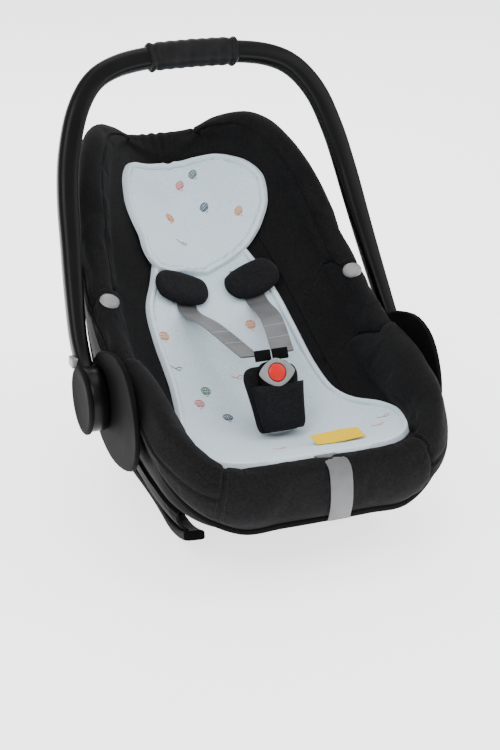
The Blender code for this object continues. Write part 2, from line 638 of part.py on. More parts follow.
def make_liner():
    lift = (LINER_LIFT + LINER_THICK, LINER_LIFT)
    patch("liner_head", hollow, (-0.64, 0.64), (7.95, 11.25), (13, 11), lift, "liner_fabric", head_width)
    patch("liner_body", hollow, (-0.68, 0.68), (0.55, 6.95), (13, 19), lift, "liner_fabric", body_width)
    centre = raised(hollow, 0.155, 1.35, LINER_LIFT + LINER_THICK + 0.0022)
    normal = normal_at(hollow, 0.155, 1.35)
    turn = Vector((0, 0, 1)).rotation_difference(Vector(normal)).to_matrix().to_4x4()
    block("liner_tag", centre, (0.062, 0.030, 0.0010), "tag_fabric", turn)


def main():
    make_tub()
    pivot = empty("handle_pivot", (0.0, PIVOT_Y, PIVOT_Z))
    make_handle(pivot)
    make_grip(pivot)
    for side, suffix in ((1, "left"), (-1, "right")):
        make_base(side, suffix)
        make_hub_fin(side, suffix)
        make_hub_details(side, suffix, pivot)
        make_shoulder_set(side, suffix)
    make_rear_hook()
    make_foam()
    make_cover()
    make_gussets()
    make_crotch()
    make_adjuster()
    make_studs()
    make_liner()


HOLLOW_EDGE = [inner_edge(row) for row in range(len(RIDGE))]
clear_scene()
PARTS = new_collection("infant_car_seat")
CUTTERS = new_collection("cutters", hidden=True)
main()
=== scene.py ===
"""Looks of the infant car seat: sewn padded cover, liner, harness, moulded shell and carry handle.

Metres, +Z up, the feet point along -Y, +X is the child's left.  The design curves are the same ones that the
solid model was made from, so each visible piece lies where its solid does.
"""
import json
import math

import bmesh
import bpy
import numpy as np
from mathutils import Matrix, Vector, noise
from mathutils.bvhtree import BVHTree
from mathutils.kdtree import KDTree


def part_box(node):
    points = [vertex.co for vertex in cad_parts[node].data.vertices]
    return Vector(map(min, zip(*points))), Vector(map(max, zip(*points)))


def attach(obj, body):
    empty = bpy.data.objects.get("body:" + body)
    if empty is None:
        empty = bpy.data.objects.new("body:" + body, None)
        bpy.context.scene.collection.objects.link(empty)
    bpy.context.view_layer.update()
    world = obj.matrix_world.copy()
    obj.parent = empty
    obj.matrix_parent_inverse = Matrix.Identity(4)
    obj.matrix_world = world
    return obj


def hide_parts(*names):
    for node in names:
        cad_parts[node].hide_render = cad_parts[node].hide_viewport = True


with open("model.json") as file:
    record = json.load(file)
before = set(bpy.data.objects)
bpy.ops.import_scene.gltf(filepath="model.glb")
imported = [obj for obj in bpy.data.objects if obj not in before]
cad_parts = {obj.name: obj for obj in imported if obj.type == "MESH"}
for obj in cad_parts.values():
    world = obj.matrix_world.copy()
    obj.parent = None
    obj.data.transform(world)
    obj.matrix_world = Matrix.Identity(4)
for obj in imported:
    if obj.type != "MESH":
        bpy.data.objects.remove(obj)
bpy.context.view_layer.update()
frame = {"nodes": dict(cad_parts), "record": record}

# ---------------------------------------------------------------- design curves, as in the solid model
RIDGE = ((0.105, -0.312, 0.150), (0.150, -0.299, 0.158), (0.176, -0.250, 0.176), (0.183, -0.190, 0.197),
         (0.184, -0.130, 0.212), (0.184, -0.070, 0.228), (0.181, 0.000, 0.262), (0.174, 0.070, 0.312),
         (0.160, 0.140, 0.378), (0.140, 0.198, 0.414), (0.116, 0.246, 0.424), (0.085, 0.288, 0.411),
         (0.056, 0.3085, 0.392))
FLOOR = ((-0.297, 0.148), (-0.260, 0.139), (-0.215, 0.126), (-0.165, 0.118), (-0.105, 0.122),
         (-0.045, 0.147), (0.012, 0.184), (0.066, 0.222), (0.120, 0.256), (0.170, 0.286),
         (0.218, 0.315), (0.258, 0.345), (0.295, 0.384))
FULLNESS = (2.3, 2.3, 2.4, 2.4, 2.3, 2.1, 1.9, 1.7, 1.45, 1.35, 1.3, 1.3, 1.5)
RIM = ((0.105, -0.3045, 0.078), (0.150, -0.283, 0.098), (0.176, -0.246, 0.128), (0.186, -0.196, 0.167),
       (0.1885, -0.140, 0.194), (0.1885, -0.070, 0.204), (0.186, 0.000, 0.228), (0.179, 0.072, 0.275),
       (0.166, 0.142, 0.338), (0.147, 0.202, 0.376), (0.124, 0.254, 0.390), (0.092, 0.2955, 0.384),
       (0.060, 0.3175, 0.370))
KEEL = ((-0.3085, 0.078), (-0.275, 0.060), (-0.225, 0.048), (-0.165, 0.040), (-0.090, 0.036),
        (-0.010, 0.040), (0.070, 0.062), (0.140, 0.105), (0.200, 0.160), (0.250, 0.222), (0.290, 0.285),
        (0.3135, 0.335), (0.3245, 0.370))
TUB_FULLNESS = (2.2, 2.3, 2.5, 2.6, 2.6, 2.6, 2.6, 2.5, 2.4, 2.3, 2.2, 2.2, 2.2)
LAST = len(RIDGE) - 1
EDGE_PAD = 0.0165
TUB_WALL = 0.004

PIVOT_Y, PIVOT_Z = -0.069, 0.168
ARM_INNER_X, ARM_WIDTH = 0.2015, 0.022
ARM_DISC_RADIUS = 0.041
BAR_DEPTH = 0.026
GRIP_HALF_LENGTH = 0.062
HANDLE = ((0.2125, -0.058, 0.180), (0.2125, -0.030, 0.200), (0.2115, -0.003, 0.230), (0.206, 0.029, 0.280),
          (0.200, 0.056, 0.328), (0.1925, 0.0885, 0.388), (0.183, 0.109, 0.434), (0.166, 0.127, 0.480),
          (0.140, 0.1435, 0.513), (0.105, 0.151, 0.530), (0.055, 0.1545, 0.5375), (0.0, 0.155, 0.539))
PAD_FOOT = np.array((0.0, -0.165, 0.1225))
PAD_UP = np.array((0.0, 0.465, 0.885))
PAD_FRONT = np.array((0.0, -0.885, 0.465))
WEBBING_WIDTH, WEBBING_THICK = 0.028, 0.0022
SIDES = ((1, "left"), (-1, "right"))

# Stations of the cover's crossing seams, counted along the padded edge from the middle of the front.
FRONT_SEAM, HIP_SEAM, WING_SEAM, HEAD_SEAM, HEAD_MIDDLE = 2.5, 6.5, 8.15, 14.0, 15.0


# ---------------------------------------------------------------- curves and surfaces
def through(points, t):
    """Point at t on a smooth curve through the points; whole values of t are the points."""
    i = min(max(int(t), 0), len(points) - 2)
    f = t - i
    before = points[i - 1] if i > 0 else 2 * points[0] - points[1]
    after = points[i + 2] if i + 2 < len(points) else 2 * points[-1] - points[-2]
    a, b = points[i], points[i + 1]
    return 0.5 * (2 * a + (b - before) * f + (2 * before - 5 * a + 4 * b - after) * f * f
                  + (3 * a - before - 3 * b + after) * f ** 3)


def rows_of(points):
    return [np.array(point, float) for point in points]


RIDGE, FLOOR, RIM, KEEL, HANDLE = (rows_of(points) for points in (RIDGE, FLOOR, RIM, KEEL, HANDLE))
MIRROR = np.array((-1.0, 1.0, 1.0))
# The padded edge and the tub's rim as half loops, from the middle of the front to the middle of the head end.
RIDGE_LOOP = rows_of(((0, -0.3125, 0.150), (0.055, -0.3125, 0.150))) + RIDGE + rows_of(((0, 0.3125, 0.391),))
RIM_LOOP = rows_of(((0, -0.3085, 0.078), (0.055, -0.3080, 0.078))) + RIM + rows_of(((0, 0.3245, 0.370),))


def half_loop(points, t):
    """Point of a half loop whose two ends lie on the middle plane."""
    extended = [points[1] * MIRROR] + points + [points[-2] * MIRROR]
    return through(extended, t + 1)


def on_loop(points, t):
    """The whole loop: t from -15 to 15, negative on the child's right."""
    point = half_loop(points, abs(t))
    return point if t >= 0 else point * MIRROR


def inner_edge(row):
    along = through(RIDGE, row + 0.05 if row < LAST else row) - through(RIDGE, row - 0.05 if row else row)
    inward = np.array((-along[1], along[0], 0.0))
    inward /= np.linalg.norm(inward)
    return RIDGE[row] + inward * EDGE_PAD - (0, 0, 0.002)


HOLLOW_EDGE = [inner_edge(row) for row in range(len(RIDGE))]


def bowl(edge, middle, fullness, u, v):
    """Point of a hollow: u runs from -1 at one edge through 0 in the middle to 1, v along the seat."""
    side = through(edge, v)
    low = np.array((0.0, *through(middle, v)))
    power = 2.0 / float(np.interp(v, range(len(fullness)), fullness))
    angle = 0.5 * math.pi * (1.0 - abs(u))
    out, down = max(math.cos(angle), 0.0) ** power, math.sin(angle) ** power
    point = side + (low - side) * down
    point[0] = math.copysign(side[0] * out, u) if u else 0.0
    return point


def hollow(u, v):
    return bowl(HOLLOW_EDGE, FLOOR, FULLNESS, u, v)


def tub(u, v):
    return bowl(RIM, KEEL, TUB_FULLNESS, u, v)


def normal_at(surface, u, v):
    """Unit normal of a surface, on its upper side."""
    step = 0.02
    across = surface(min(u + step, 1.0), v) - surface(max(u - step, -1.0), v)
    along = surface(u, min(v + step, LAST)) - surface(u, max(v - step, 0.0))
    n = np.cross(across, along)
    return n / np.linalg.norm(n)


def raised(surface, u, v, height):
    return surface(u, v) + normal_at(surface, u, v) * height


def ease(x):
    """Smooth step from 0 to 1."""
    x = min(max(x, 0.0), 1.0)
    return x * x * (3 - 2 * x)


def unit(vector):
    return vector / np.linalg.norm(vector)


# ---------------------------------------------------------------- materials
class Finish:
    """A procedural material under construction: a Principled shader and the textures that feed it."""

    def __init__(self, name, roughness, **sockets):
        self.material = bpy.data.materials.new(name)
        self.material.use_nodes = True
        self.tree = self.material.node_tree
        self.shader = self.tree.nodes["Principled BSDF"]
        self.shader.inputs["Roughness"].default_value = roughness
        for socket, value in sockets.items():
            self.shader.inputs[socket.replace("_", " ")].default_value = value
        self.coordinates = self.node("ShaderNodeTexCoord").outputs["Object"]

    def node(self, kind, **settings):
        made = self.tree.nodes.new(kind)
        for key, value in settings.items():
            if key in made.inputs:
                made.inputs[key].default_value = value
            else:
                setattr(made, key, value)
        return made

    def link(self, output, socket):
        self.tree.links.new(output, socket)

    def noise(self, scale, detail=3.0):
        made = self.node("ShaderNodeTexNoise", Scale=scale, Detail=detail)
        self.link(self.coordinates, made.inputs["Vector"])
        return made.outputs["Fac"]

    def cells(self, scale, feature="F1"):
        made = self.node("ShaderNodeTexVoronoi", Scale=scale, feature=feature)
        self.link(self.coordinates, made.inputs["Vector"])
        return made.outputs["Distance"]

    def bands(self, pitch, direction):
        """Fine parallel ribs, pitch metres apart."""
        made = self.node("ShaderNodeTexWave", Scale=math.pi / (10 * pitch), bands_direction=direction)
        made.inputs["Distortion"].default_value = 0.0
        self.link(self.coordinates, made.inputs["Vector"])
        return made.outputs["Fac"]

    def mix(self, first, second, operation="ADD"):
        made = self.node("ShaderNodeMath", operation=operation)
        for socket, value in zip(made.inputs, (first, second)):
            if isinstance(value, (int, float)):
                socket.default_value = value
            else:
                self.link(value, socket)
        return made.outputs[0]

    def colour(self, value, dark, light):
        ramp = self.node("ShaderNodeValToRGB")
        ramp.color_ramp.elements[0].color = (*dark, 1)
        ramp.color_ramp.elements[1].color = (*light, 1)
        ramp.color_ramp.elements[0].position = 0.3
        ramp.color_ramp.elements[1].position = 0.7
        self.link(value, ramp.inputs["Fac"])
        self.link(ramp.outputs["Color"], self.shader.inputs["Base Color"])
        return self

    def roughness(self, value, low, high):
        made = self.node("ShaderNodeMapRange")
        made.inputs["To Min"].default_value = low
        made.inputs["To Max"].default_value = high
        self.link(value, made.inputs["Value"])
        self.link(made.outputs["Result"], self.shader.inputs["Roughness"])
        return self

    def bump(self, height, distance, strength=0.6):
        made = self.node("ShaderNodeBump", Strength=strength, Distance=distance)
        self.link(height, made.inputs["Height"])
        self.link(made.outputs["Normal"], self.shader.inputs["Normal"])
        return self


def woven(name, dark, light, pitch, sheen, roughness=0.9):
    """Plain weave: two crossed sets of ribs, broken up by the yarn's own unevenness."""
    made = Finish(name, roughness, Sheen_Weight=sheen, Sheen_Roughness=0.45, Specular_IOR_Level=0.10)
    weft = made.mix(made.bands(pitch, "X"), made.bands(pitch, "DIAGONAL"), "MULTIPLY")
    yarn = made.mix(weft, made.mix(made.noise(1.4 / pitch), 0.7, "MULTIPLY"))
    melange = made.mix(made.noise(340.0, 4.0), made.mix(made.noise(22.0), 0.35, "MULTIPLY"))
    made.colour(made.mix(melange, 0.15, "SUBTRACT"), dark, light)
    return made.bump(yarn, pitch * 0.35, 0.55).material


def moulded(name, dark, light, roughness, grain=0.00005, specular=0.5):
    """Moulded plastic with a fine spark-eroded grain and a slightly uneven gloss."""
    made = Finish(name, roughness, Specular_IOR_Level=specular)
    made.colour(made.noise(9.0), dark, light)
    made.roughness(made.noise(35.0, 5.0), roughness - 0.06, roughness + 0.08)
    return made.bump(made.noise(1500.0, 2.0), grain, 0.5).material


def leather(name, dark, light):
    made = Finish(name, 0.5, Specular_IOR_Level=0.12)
    grain = made.mix(made.cells(420.0, "SMOOTH_F1"), made.mix(made.noise(900.0), 0.4, "MULTIPLY"))
    made.colour(made.noise(60.0), dark, light)
    made.roughness(made.noise(120.0), 0.42, 0.6)
    return made.bump(grain, 0.0004, 0.7).material


def spacer_mesh(name, dark, light):
    """Knitted spacer fabric: rows of small open cells, each cell's centre darkened as painted shade in the hole."""
    made = Finish(name, 0.85, Sheen_Weight=0.2, Sheen_Roughness=0.5, Specular_IOR_Level=0.2)
    holes_and_shade = made.cells(520.0)
    # Painted shade: the colour darkens towards each cell's centre, where the bump sinks the open hole.
    made.colour(made.mix(holes_and_shade, made.mix(made.noise(14.0), 0.25, "MULTIPLY")), dark, light)
    return made.bump(holes_and_shade, 0.0005, 0.5).material


def satin_webbing(name, dark, light, direction):
    made = Finish(name, 0.42, Sheen_Weight=0.25, Sheen_Roughness=0.3, Specular_IOR_Level=0.6)
    ribs = made.bands(0.0011, direction)
    made.colour(made.mix(made.noise(30.0), made.mix(ribs, 0.2, "MULTIPLY")), dark, light)
    return made.bump(ribs, 0.00025, 0.6).material


def metal(name):
    made = Finish(name, 0.35, Metallic=1.0)
    made.colour(made.noise(80.0), (0.5, 0.5, 0.51), (0.62, 0.62, 0.62))
    return made.roughness(made.noise(300.0), 0.28, 0.45).material


def make_materials():
    return {
        "cover": woven("cover_weave", (0.0035, 0.0035, 0.0040), (0.0085, 0.0085, 0.0092), 0.0011, 0.03),
        "pad": woven("pad_weave", (0.0045, 0.0045, 0.0055), (0.011, 0.011, 0.013), 0.0009, 0.05),
        "liner": spacer_mesh("liner_mesh", (0.50, 0.62, 0.70), (0.62, 0.73, 0.80)),
        "liner_edge": woven("liner_binding", (0.60, 0.71, 0.78), (0.70, 0.80, 0.86), 0.0012, 0.1),
        "tag": woven("tag_weave", (0.80, 0.50, 0.002), (0.88, 0.60, 0.006), 0.0008, 0.05),
        "thread": woven("sewing_thread", (0.42, 0.48, 0.52), (0.55, 0.61, 0.65), 0.0006, 0.05),
        "dark_thread": woven("seam_thread", (0.010, 0.010, 0.011), (0.020, 0.020, 0.022), 0.0006, 0.05),
        "green": woven("print_green", (0.030, 0.10, 0.045), (0.06, 0.15, 0.07), 0.0006, 0.0),
        "pink": woven("print_pink", (0.50, 0.10, 0.09), (0.60, 0.16, 0.14), 0.0006, 0.0),
        "navy": woven("print_navy", (0.008, 0.018, 0.05), (0.02, 0.035, 0.08), 0.0006, 0.0),
        "orange": woven("print_orange", (0.60, 0.17, 0.035), (0.70, 0.24, 0.06), 0.0006, 0.0),
        "webbing": satin_webbing("webbing_satin", (0.035, 0.037, 0.040), (0.11, 0.113, 0.118), "X"),
        "handle": moulded("handle_plastic_satin", (0.0015, 0.0015, 0.0017), (0.0030, 0.0030, 0.0033), 0.30, 0.00003,
                          0.14),
        "cap": moulded("cap_plastic", (0.0055, 0.0055, 0.0060), (0.0090, 0.0090, 0.0095), 0.65, 0.00005, 0.03),
        "shell": moulded("shell_plastic_grained", (0.0025, 0.0025, 0.0028), (0.0050, 0.0050, 0.0054), 0.60, 0.00005,
                         0.03),
        "base": moulded("base_plastic_matte", (0.0025, 0.0025, 0.0027), (0.0050, 0.0050, 0.0052), 0.65, 0.00005,
                        0.03),
        "grey": moulded("grey_plastic_satin", (0.17, 0.17, 0.175), (0.23, 0.23, 0.235), 0.35),
        "red": moulded("red_plastic_gloss", (0.50, 0.0030, 0.0030), (0.62, 0.0050, 0.0050), 0.3, 0.00002, 0.3),
        "steel": metal("zinc_steel"),
        "grip": leather("grip_leather", (0.0040, 0.0040, 0.0046), (0.0080, 0.0080, 0.0088)),
    }


# ---------------------------------------------------------------- mesh helpers
def link(obj):
    bpy.context.scene.collection.objects.link(obj)
    return obj


def from_bmesh(name, bm, material, sharp=40):
    mesh = bpy.data.meshes.new(name)
    bm.to_mesh(mesh)
    bm.free()
    mesh.materials.append(material)
    mesh.shade_smooth()
    mesh.set_sharp_from_angle(angle=math.radians(sharp))
    return link(bpy.data.objects.new(name, mesh))


def closed_slab(name, top, under, material, wrap=False):
    """Closed skin between two grids of points.  wrap joins the last row to the first."""
    bm = bmesh.new()
    grids = [[[bm.verts.new(point) for point in row] for row in grid] for grid in (top, under)]
    rows, columns = len(top), len(top[0])
    pairs = [(i, (i + 1) % rows) for i in range(rows if wrap else rows - 1)]
    for i, k in pairs:
        for j in range(columns - 1):
            for grid in grids:
                bm.faces.new((grid[i][j], grid[k][j], grid[k][j + 1], grid[i][j + 1]))
        for j in (0, columns - 1):
            bm.faces.new((grids[0][i][j], grids[0][k][j], grids[1][k][j], grids[1][i][j]))
    if not wrap:
        for i in (0, rows - 1):
            for j in range(columns - 1):
                bm.faces.new((grids[0][i][j], grids[0][i][j + 1], grids[1][i][j + 1], grids[1][i][j]))
    bmesh.ops.recalc_face_normals(bm, faces=bm.faces)
    return from_bmesh(name, bm, material)


def tube(name, rings, material, closed=False):
    """Skin through rings of points, capped at both ends or joined into a loop."""
    bm = bmesh.new()
    made = [[bm.verts.new(point) for point in ring] for ring in rings]
    for near, far in zip(made, made[1:] + made[:1] if closed else made[1:]):
        for i, vert in enumerate(near):
            bm.faces.new((vert, near[i - 1], far[i - 1], far[i]))
    if not closed:
        bm.faces.new(made[0])
        bm.faces.new(made[-1])
    bmesh.ops.recalc_face_normals(bm, faces=bm.faces)
    return from_bmesh(name, bm, material)


def section(width, depth, sides, squareness):
    """Points of a rounded rectangle, as (across, deep)."""
    made = []
    for k in range(sides):
        angle = 2 * math.pi * (k + 0.5) / sides
        c, s = math.cos(angle), math.sin(angle)
        made.append((math.copysign(abs(c) ** (2 / squareness), c) * width / 2,
                     math.copysign(abs(s) ** (2 / squareness), s) * depth / 2))
    return made


def swept(path, outline, deep_hint, closed=False):
    """Rings of a section along a path.  outline is a list of (across, deep) or a function of the index."""
    rings = []
    count = len(path)
    for i, point in enumerate(path):
        if closed:
            along = path[(i + 1) % count] - path[i - 1]
        else:
            along = path[min(i + 1, count - 1)] - path[max(i - 1, 0)]
        along = unit(along)
        hint = np.asarray(deep_hint(i) if callable(deep_hint) else deep_hint, float)
        deep = unit(hint - along * hint.dot(along))
        across = np.cross(along, deep)
        shape = outline(i) if callable(outline) else outline
        rings.append([point + across * x + deep * y for x, y in shape])
    return rings


def turned(name, profile, centre, axis, material, sides=64):
    """Round piece: profile is (radius, height along the axis), closed on the axis at both ends."""
    turn = Vector((0, 0, 1)).rotation_difference(Vector(axis)).to_matrix()
    rings = []
    for radius, height in profile:
        ring = [turn @ Vector((max(radius, 1e-5) * math.cos(a), max(radius, 1e-5) * math.sin(a), height))
                for a in np.linspace(0, 2 * math.pi, sides, endpoint=False)]
        rings.append([np.array(p) + centre for p in ring])
    return tube(name, rings, material)


def joined(name, objects):
    """One object from several, keeping each one's material."""
    bm = bmesh.new()
    materials = []
    for obj in objects:
        for material in obj.data.materials:
            if material not in materials:
                materials.append(material)
        mesh = obj.data
        start = len(bm.faces)
        bm.from_mesh(mesh)
        bm.faces.ensure_lookup_table()
        for face in bm.faces[start:]:
            face.material_index = materials.index(mesh.materials[face.material_index])
        bpy.data.objects.remove(obj)
    made = bpy.data.meshes.new(name)
    bm.to_mesh(made)
    bm.free()
    for material in materials:
        made.materials.append(material)
    made.set_sharp_from_angle(angle=math.radians(40))
    return link(bpy.data.objects.new(name, made))


def place(obj, body, slot, *nodes):
    """Hangs a finished piece on its body and hides the solids that it stands for; slot is not used."""
    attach(obj, body)
    if nodes:
        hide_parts(*nodes)
    return obj


def dashes(name, polylines, stitch, gap, radius, material, body, slot):
    """Sewing stitches: short rounded threads laid along lines of points."""
    bm = bmesh.new()
    for line in polylines:
        lengths = [0.0]
        for a, b in zip(line, line[1:]):
            lengths.append(lengths[-1] + np.linalg.norm(b - a))
        start = gap
        while start + stitch < lengths[-1]:
            ends = [np.array([np.interp(start + part, lengths, [p[k] for p in line]) for k in range(3)])
                    for part in (0.0, stitch)]
            along = Vector(ends[1] - ends[0])
            turn = Vector((0, 0, 1)).rotation_difference(along).to_matrix().to_4x4()
            middle = Matrix.Translation((ends[0] + ends[1]) / 2)
            bmesh.ops.create_cone(bm, cap_ends=True, segments=6, radius1=radius, radius2=radius,
                                  depth=along.length, matrix=middle @ turn)
            start += stitch + gap
    return place(from_bmesh(name, bm, material, 60), body, slot)


# ---------------------------------------------------------------- cover
CREST_STEPS, WALL_STEPS, INNER_STEPS = 9, 13, 24
BAND_COLUMNS = INNER_STEPS + CREST_STEPS + WALL_STEPS
CREST_COLUMN = INNER_STEPS + CREST_STEPS // 2
PANEL_SKIN = 0.004                  # depth of a cover panel below its face
HELD_ROWS, HELD_COLUMNS = 3, 4      # rows and columns beside a seam that the simulation leaves alone
BOLSTER_SWELL = 0.0150
# Columns of the long seams that run inside a panel, for the panel that starts at each station.
LONG_SEAMS = {0.0: (21.5,), FRONT_SEAM: (36.0,), HIP_SEAM: (36.0,), WING_SEAM: (18.0, 36.0), HEAD_SEAM: (36.0,)}
# Column up to which each panel stays flat, under the liner.
FLAT_COLUMNS = {0.0: 19.5, FRONT_SEAM: 7.0, HIP_SEAM: 10.0, WING_SEAM: 10.5, HEAD_SEAM: 13.0}


def hollow_params(t, share):
    """Where the band's inner part lies in the hollow: share is 1 at the padded edge, 0 at the inner seam."""
    t = abs(t)
    if t < 2:
        edge = (t / 2, 0.0)
    elif t <= 14:
        edge = (1.0, t - 2)
    else:
        edge = (1.0 - (t - 14), float(LAST))
    back = 1.0 - share
    u = edge[0] * (1 - 0.55 * back)
    v = 6 + (edge[1] - 6) * (1 - 0.25 * back)
    v += 0.5 * math.sin(math.pi * min(back, 0.8)) * math.exp(-((edge[1] - 6.15) / 1.1) ** 2)
    v += 0.35 * math.sin(math.pi * back) * math.exp(-((edge[1] - 4.5) / 0.8) ** 2)
    return u, v


def band_section(t):
    """Points across the padded edge at station t: from inside the hollow, over the crest, down to the rim."""
    ridge, rim = on_loop(RIDGE_LOOP, abs(t)), on_loop(RIM_LOOP, abs(t))
    points = []
    for share in np.linspace(0, 1, INNER_STEPS):
        u, v = hollow_params(t, share)
        points.append(raised(hollow, min(u, 0.999), v, 0.001))
    edge = points[-1]
    out = ridge - edge
    out[2] = 0.0
    out = unit(out)
    low = ridge + out * 0.0012 - (0, 0, 0.007)
    rise = 0.0100 + 0.0115 * ease((abs(t) - 1.5) / 2.0)
    if FRONT_SEAM < abs(t) < HIP_SEAM:
        rise += 0.0170 * pillow(HIP_SEAM - abs(t), 0.30) * ease((abs(t) - FRONT_SEAM) / 2.6)
    handles = (edge + (0, 0, rise * 0.45), low + (0, 0, rise * 0.55 + 0.003))
    for f in np.linspace(0, 1, CREST_STEPS + 1)[1:]:
        g = 1 - f
        points.append(edge * g ** 3 + handles[0] * 3 * g * g * f + handles[1] * 3 * g * f * f + low * f ** 3)
    front = 1 - ease((abs(t) - 2.2) / 1.6)
    beside_fin = math.exp(-((abs(t) - 6.6) / 1.6) ** 4)
    bulge = 0.0045 + 0.0060 * front - 0.0032 * beside_fin
    foot = rim + (0, 0, 0.002)
    for f in np.linspace(0, 1, WALL_STEPS + 1)[1:]:
        swell = math.sin(math.pi * f) ** 0.8
        points.append(low + (foot - low) * f + out * bulge * swell)
    return [p if t >= 0 else p * MIRROR for p in points]


def pillow(distance, reach=0.17):
    """Section of a stuffed panel beside its seam: steep at the seam, level beyond reach."""
    x = 1 - min(max(distance / reach, 0.0), 1.0)
    return math.sqrt(1 - x * x)


def band_heights(t, column, spans):
    """How far a panel swells above its base surface: full in its middle, nothing at its seams."""
    t = abs(t)
    low, high = next(span for span in spans if span[0] <= t <= span[1] + 1e-6)
    to_seam = min(t - low if low > 0 else 9.0, high - t if high < HEAD_MIDDLE else 9.0)
    height = 0.0052 * (1 - 0.45 * ease((column - INNER_STEPS + 2) / 4))
    if low == FRONT_SEAM:
        along = max(math.sin(math.pi * (t - low) / (high - low)), 0.0) ** 0.5
        height += BOLSTER_SWELL * along * math.sin(math.pi * min(max((column - 5) / 25, 0.0), 1.0)) ** 0.8
    rise = ease((column - FLAT_COLUMNS[low]) / 4.0)
    height *= pillow(to_seam) * rise * ease((BAND_COLUMNS - 1 - column) / 3.0)
    pucker = 0.0006 * math.sin(column * 2.1) * math.exp(-((to_seam - 0.15) / 0.16) ** 2)
    groove = sum(0.0026 * math.exp(-((column - seam) / 0.60) ** 2) for seam in LONG_SEAMS[low])
    return height + pucker * rise - groove


def grid_normals(grid):
    grid = np.asarray(grid)
    along = np.gradient(grid, axis=0)
    across = np.gradient(grid, axis=1)
    normals = np.cross(across, along)
    return normals / np.maximum(np.linalg.norm(normals, axis=2, keepdims=True), 1e-9)


def upward_normals(grid, row, column):
    """Normals of a grid of points, turned so that the one at (row, column) looks up."""
    normals = grid_normals(grid)
    return -normals if normals[row, column, 2] < 0 else normals


def lattice(point_at, rows, columns):
    """Grid of points: point_at(row, column) for each row value and each column value."""
    return np.array([[point_at(row, column) for column in columns] for row in rows])


def relaxed(grid, passes):
    """Evens out a grid of points, holding its borders."""
    grid = np.array(grid)
    for _ in range(passes):
        inner = (grid[:-2, 1:-1] + grid[2:, 1:-1] + grid[1:-1, :-2] + grid[1:-1, 2:]) / 4
        grid[1:-1, 1:-1] = 0.5 * grid[1:-1, 1:-1] + 0.5 * inner
    return grid


def wrinkle(point, scale, depth):
    """Small folds of slack fabric."""
    return depth * noise.noise(Vector(point) * scale)


SEAM_LINES = []
CLOTH_FRAMES = 14
CLOTH_REACH = 0.0028                # how far the simulation may move a point


def make_band_panel(name, low, high, spans, count, material):
    """One sewn panel of the padded edge between two stations."""
    share = np.linspace(0, 1, count)
    ts = low + (high - low) * (0.55 * share + 0.45 * (0.5 - 0.5 * np.cos(math.pi * share)))
    grid = relaxed([band_section(t) for t in ts], 3)
    normals = upward_normals(grid, count // 2, CREST_COLUMN)
    heights = np.array([[band_heights(t, column, spans) for column in range(grid.shape[1])] for t in ts])
    folds = np.array([[wrinkle((p[0], p[1] * 0.5, p[2]), 34.0, 0.0016) for p in row] for row in grid])
    top = grid + normals * (heights + folds * np.clip(heights / 0.003, 0, 1))[..., None]
    under = grid - normals * PANEL_SKIN
    for k in (HELD_ROWS, count - 1 - HELD_ROWS):
        SEAM_LINES.append([top[k, column] + normals[k, column] * 0.0002 for column in range(3, BAND_COLUMNS - 3)])
    panel = closed_slab(name, top, under, material)
    start = 0.0 if low < 0 < high else min(abs(low), abs(high))
    free = [i * BAND_COLUMNS + j for i in range(HELD_ROWS, count - HELD_ROWS)
            for j in range(int(FLAT_COLUMNS[start]) + HELD_COLUMNS, BAND_COLUMNS - HELD_COLUMNS)]
    return settle(panel, free)


def settle(obj, free):
    """Relaxes the free points of a padded piece as stuffed cloth that is cut a little too large."""
    held = set(range(len(obj.data.vertices))) - set(free)
    obj.vertex_groups.new(name="sewn").add(list(held), 1.0, "REPLACE")
    cloth = obj.modifiers.new("Cloth", "CLOTH")
    settings = cloth.settings
    settings.quality = 8
    settings.mass = 0.20
    settings.tension_stiffness = settings.compression_stiffness = 15.0
    settings.shear_stiffness = 8.0
    settings.bending_stiffness = 0.5
    settings.vertex_group_mass = "sewn"
    settings.shrink_min = -0.008
    settings.use_pressure = True
    settings.uniform_pressure_force = 2.0
    settings.effector_weights.gravity = 0.0
    cloth.collision_settings.use_collision = False
    cloth.collision_settings.use_self_collision = False
    for step in range(1, CLOTH_FRAMES + 1):
        bpy.context.scene.frame_set(step)
    before = [vert.co.copy() for vert in obj.data.vertices]
    graph = bpy.context.evaluated_depsgraph_get()
    settled = bpy.data.meshes.new_from_object(obj.evaluated_get(graph))
    obj.modifiers.clear()
    obj.data = settled
    for vert, start in zip(obj.data.vertices, before):
        moved = vert.co - start
        vert.co = start + moved * (CLOTH_REACH / max(moved.length, CLOTH_REACH))
    bpy.context.scene.frame_set(1)
    return obj


def make_cover(materials):
    """The cover's sewn edge panels, their top stitching, and the seat and back inside them."""
    spans = ((0.0, FRONT_SEAM), (FRONT_SEAM, HIP_SEAM), (HIP_SEAM, WING_SEAM), (WING_SEAM, HEAD_SEAM),
             (HEAD_SEAM, HEAD_MIDDLE))
    front = make_band_panel("cover_front_lip", -FRONT_SEAM, FRONT_SEAM, spans, 91, materials["cover"])
    place(front, "seat", "cover_fabric", "front_lip_panel", "front_gusset")
    for side, suffix in SIDES:
        panels = (("cover_hip_", FRONT_SEAM, HIP_SEAM, 90, ("hip_bolster_",)),
                  ("cover_side_", HIP_SEAM, WING_SEAM, 46, ("side_gusset_",)),
                  ("cover_wing_", WING_SEAM, HEAD_SEAM, 120, ("wing_panel_",)))
        for name, low, high, count, nodes in panels:
            low, high = sorted((side * low, side * high))
            panel = make_band_panel(name + suffix, low, high, spans, count, materials["cover"])
            place(panel, "seat", "cover_fabric", *(node + suffix for node in nodes))
    head = make_head_panel(spans, materials["cover"])
    place(head, "seat", "cover_fabric", "head_gusset", "headrest_panel")
    dashes("cover_top_stitching", SEAM_LINES, 0.0030, 0.0014, 0.00035, materials["dark_thread"], "seat",
           "cover_fabric")
    inner = make_inner_cover(materials["cover"])
    place(inner, "seat", "cover_fabric", "seat_panel", "back_panel")


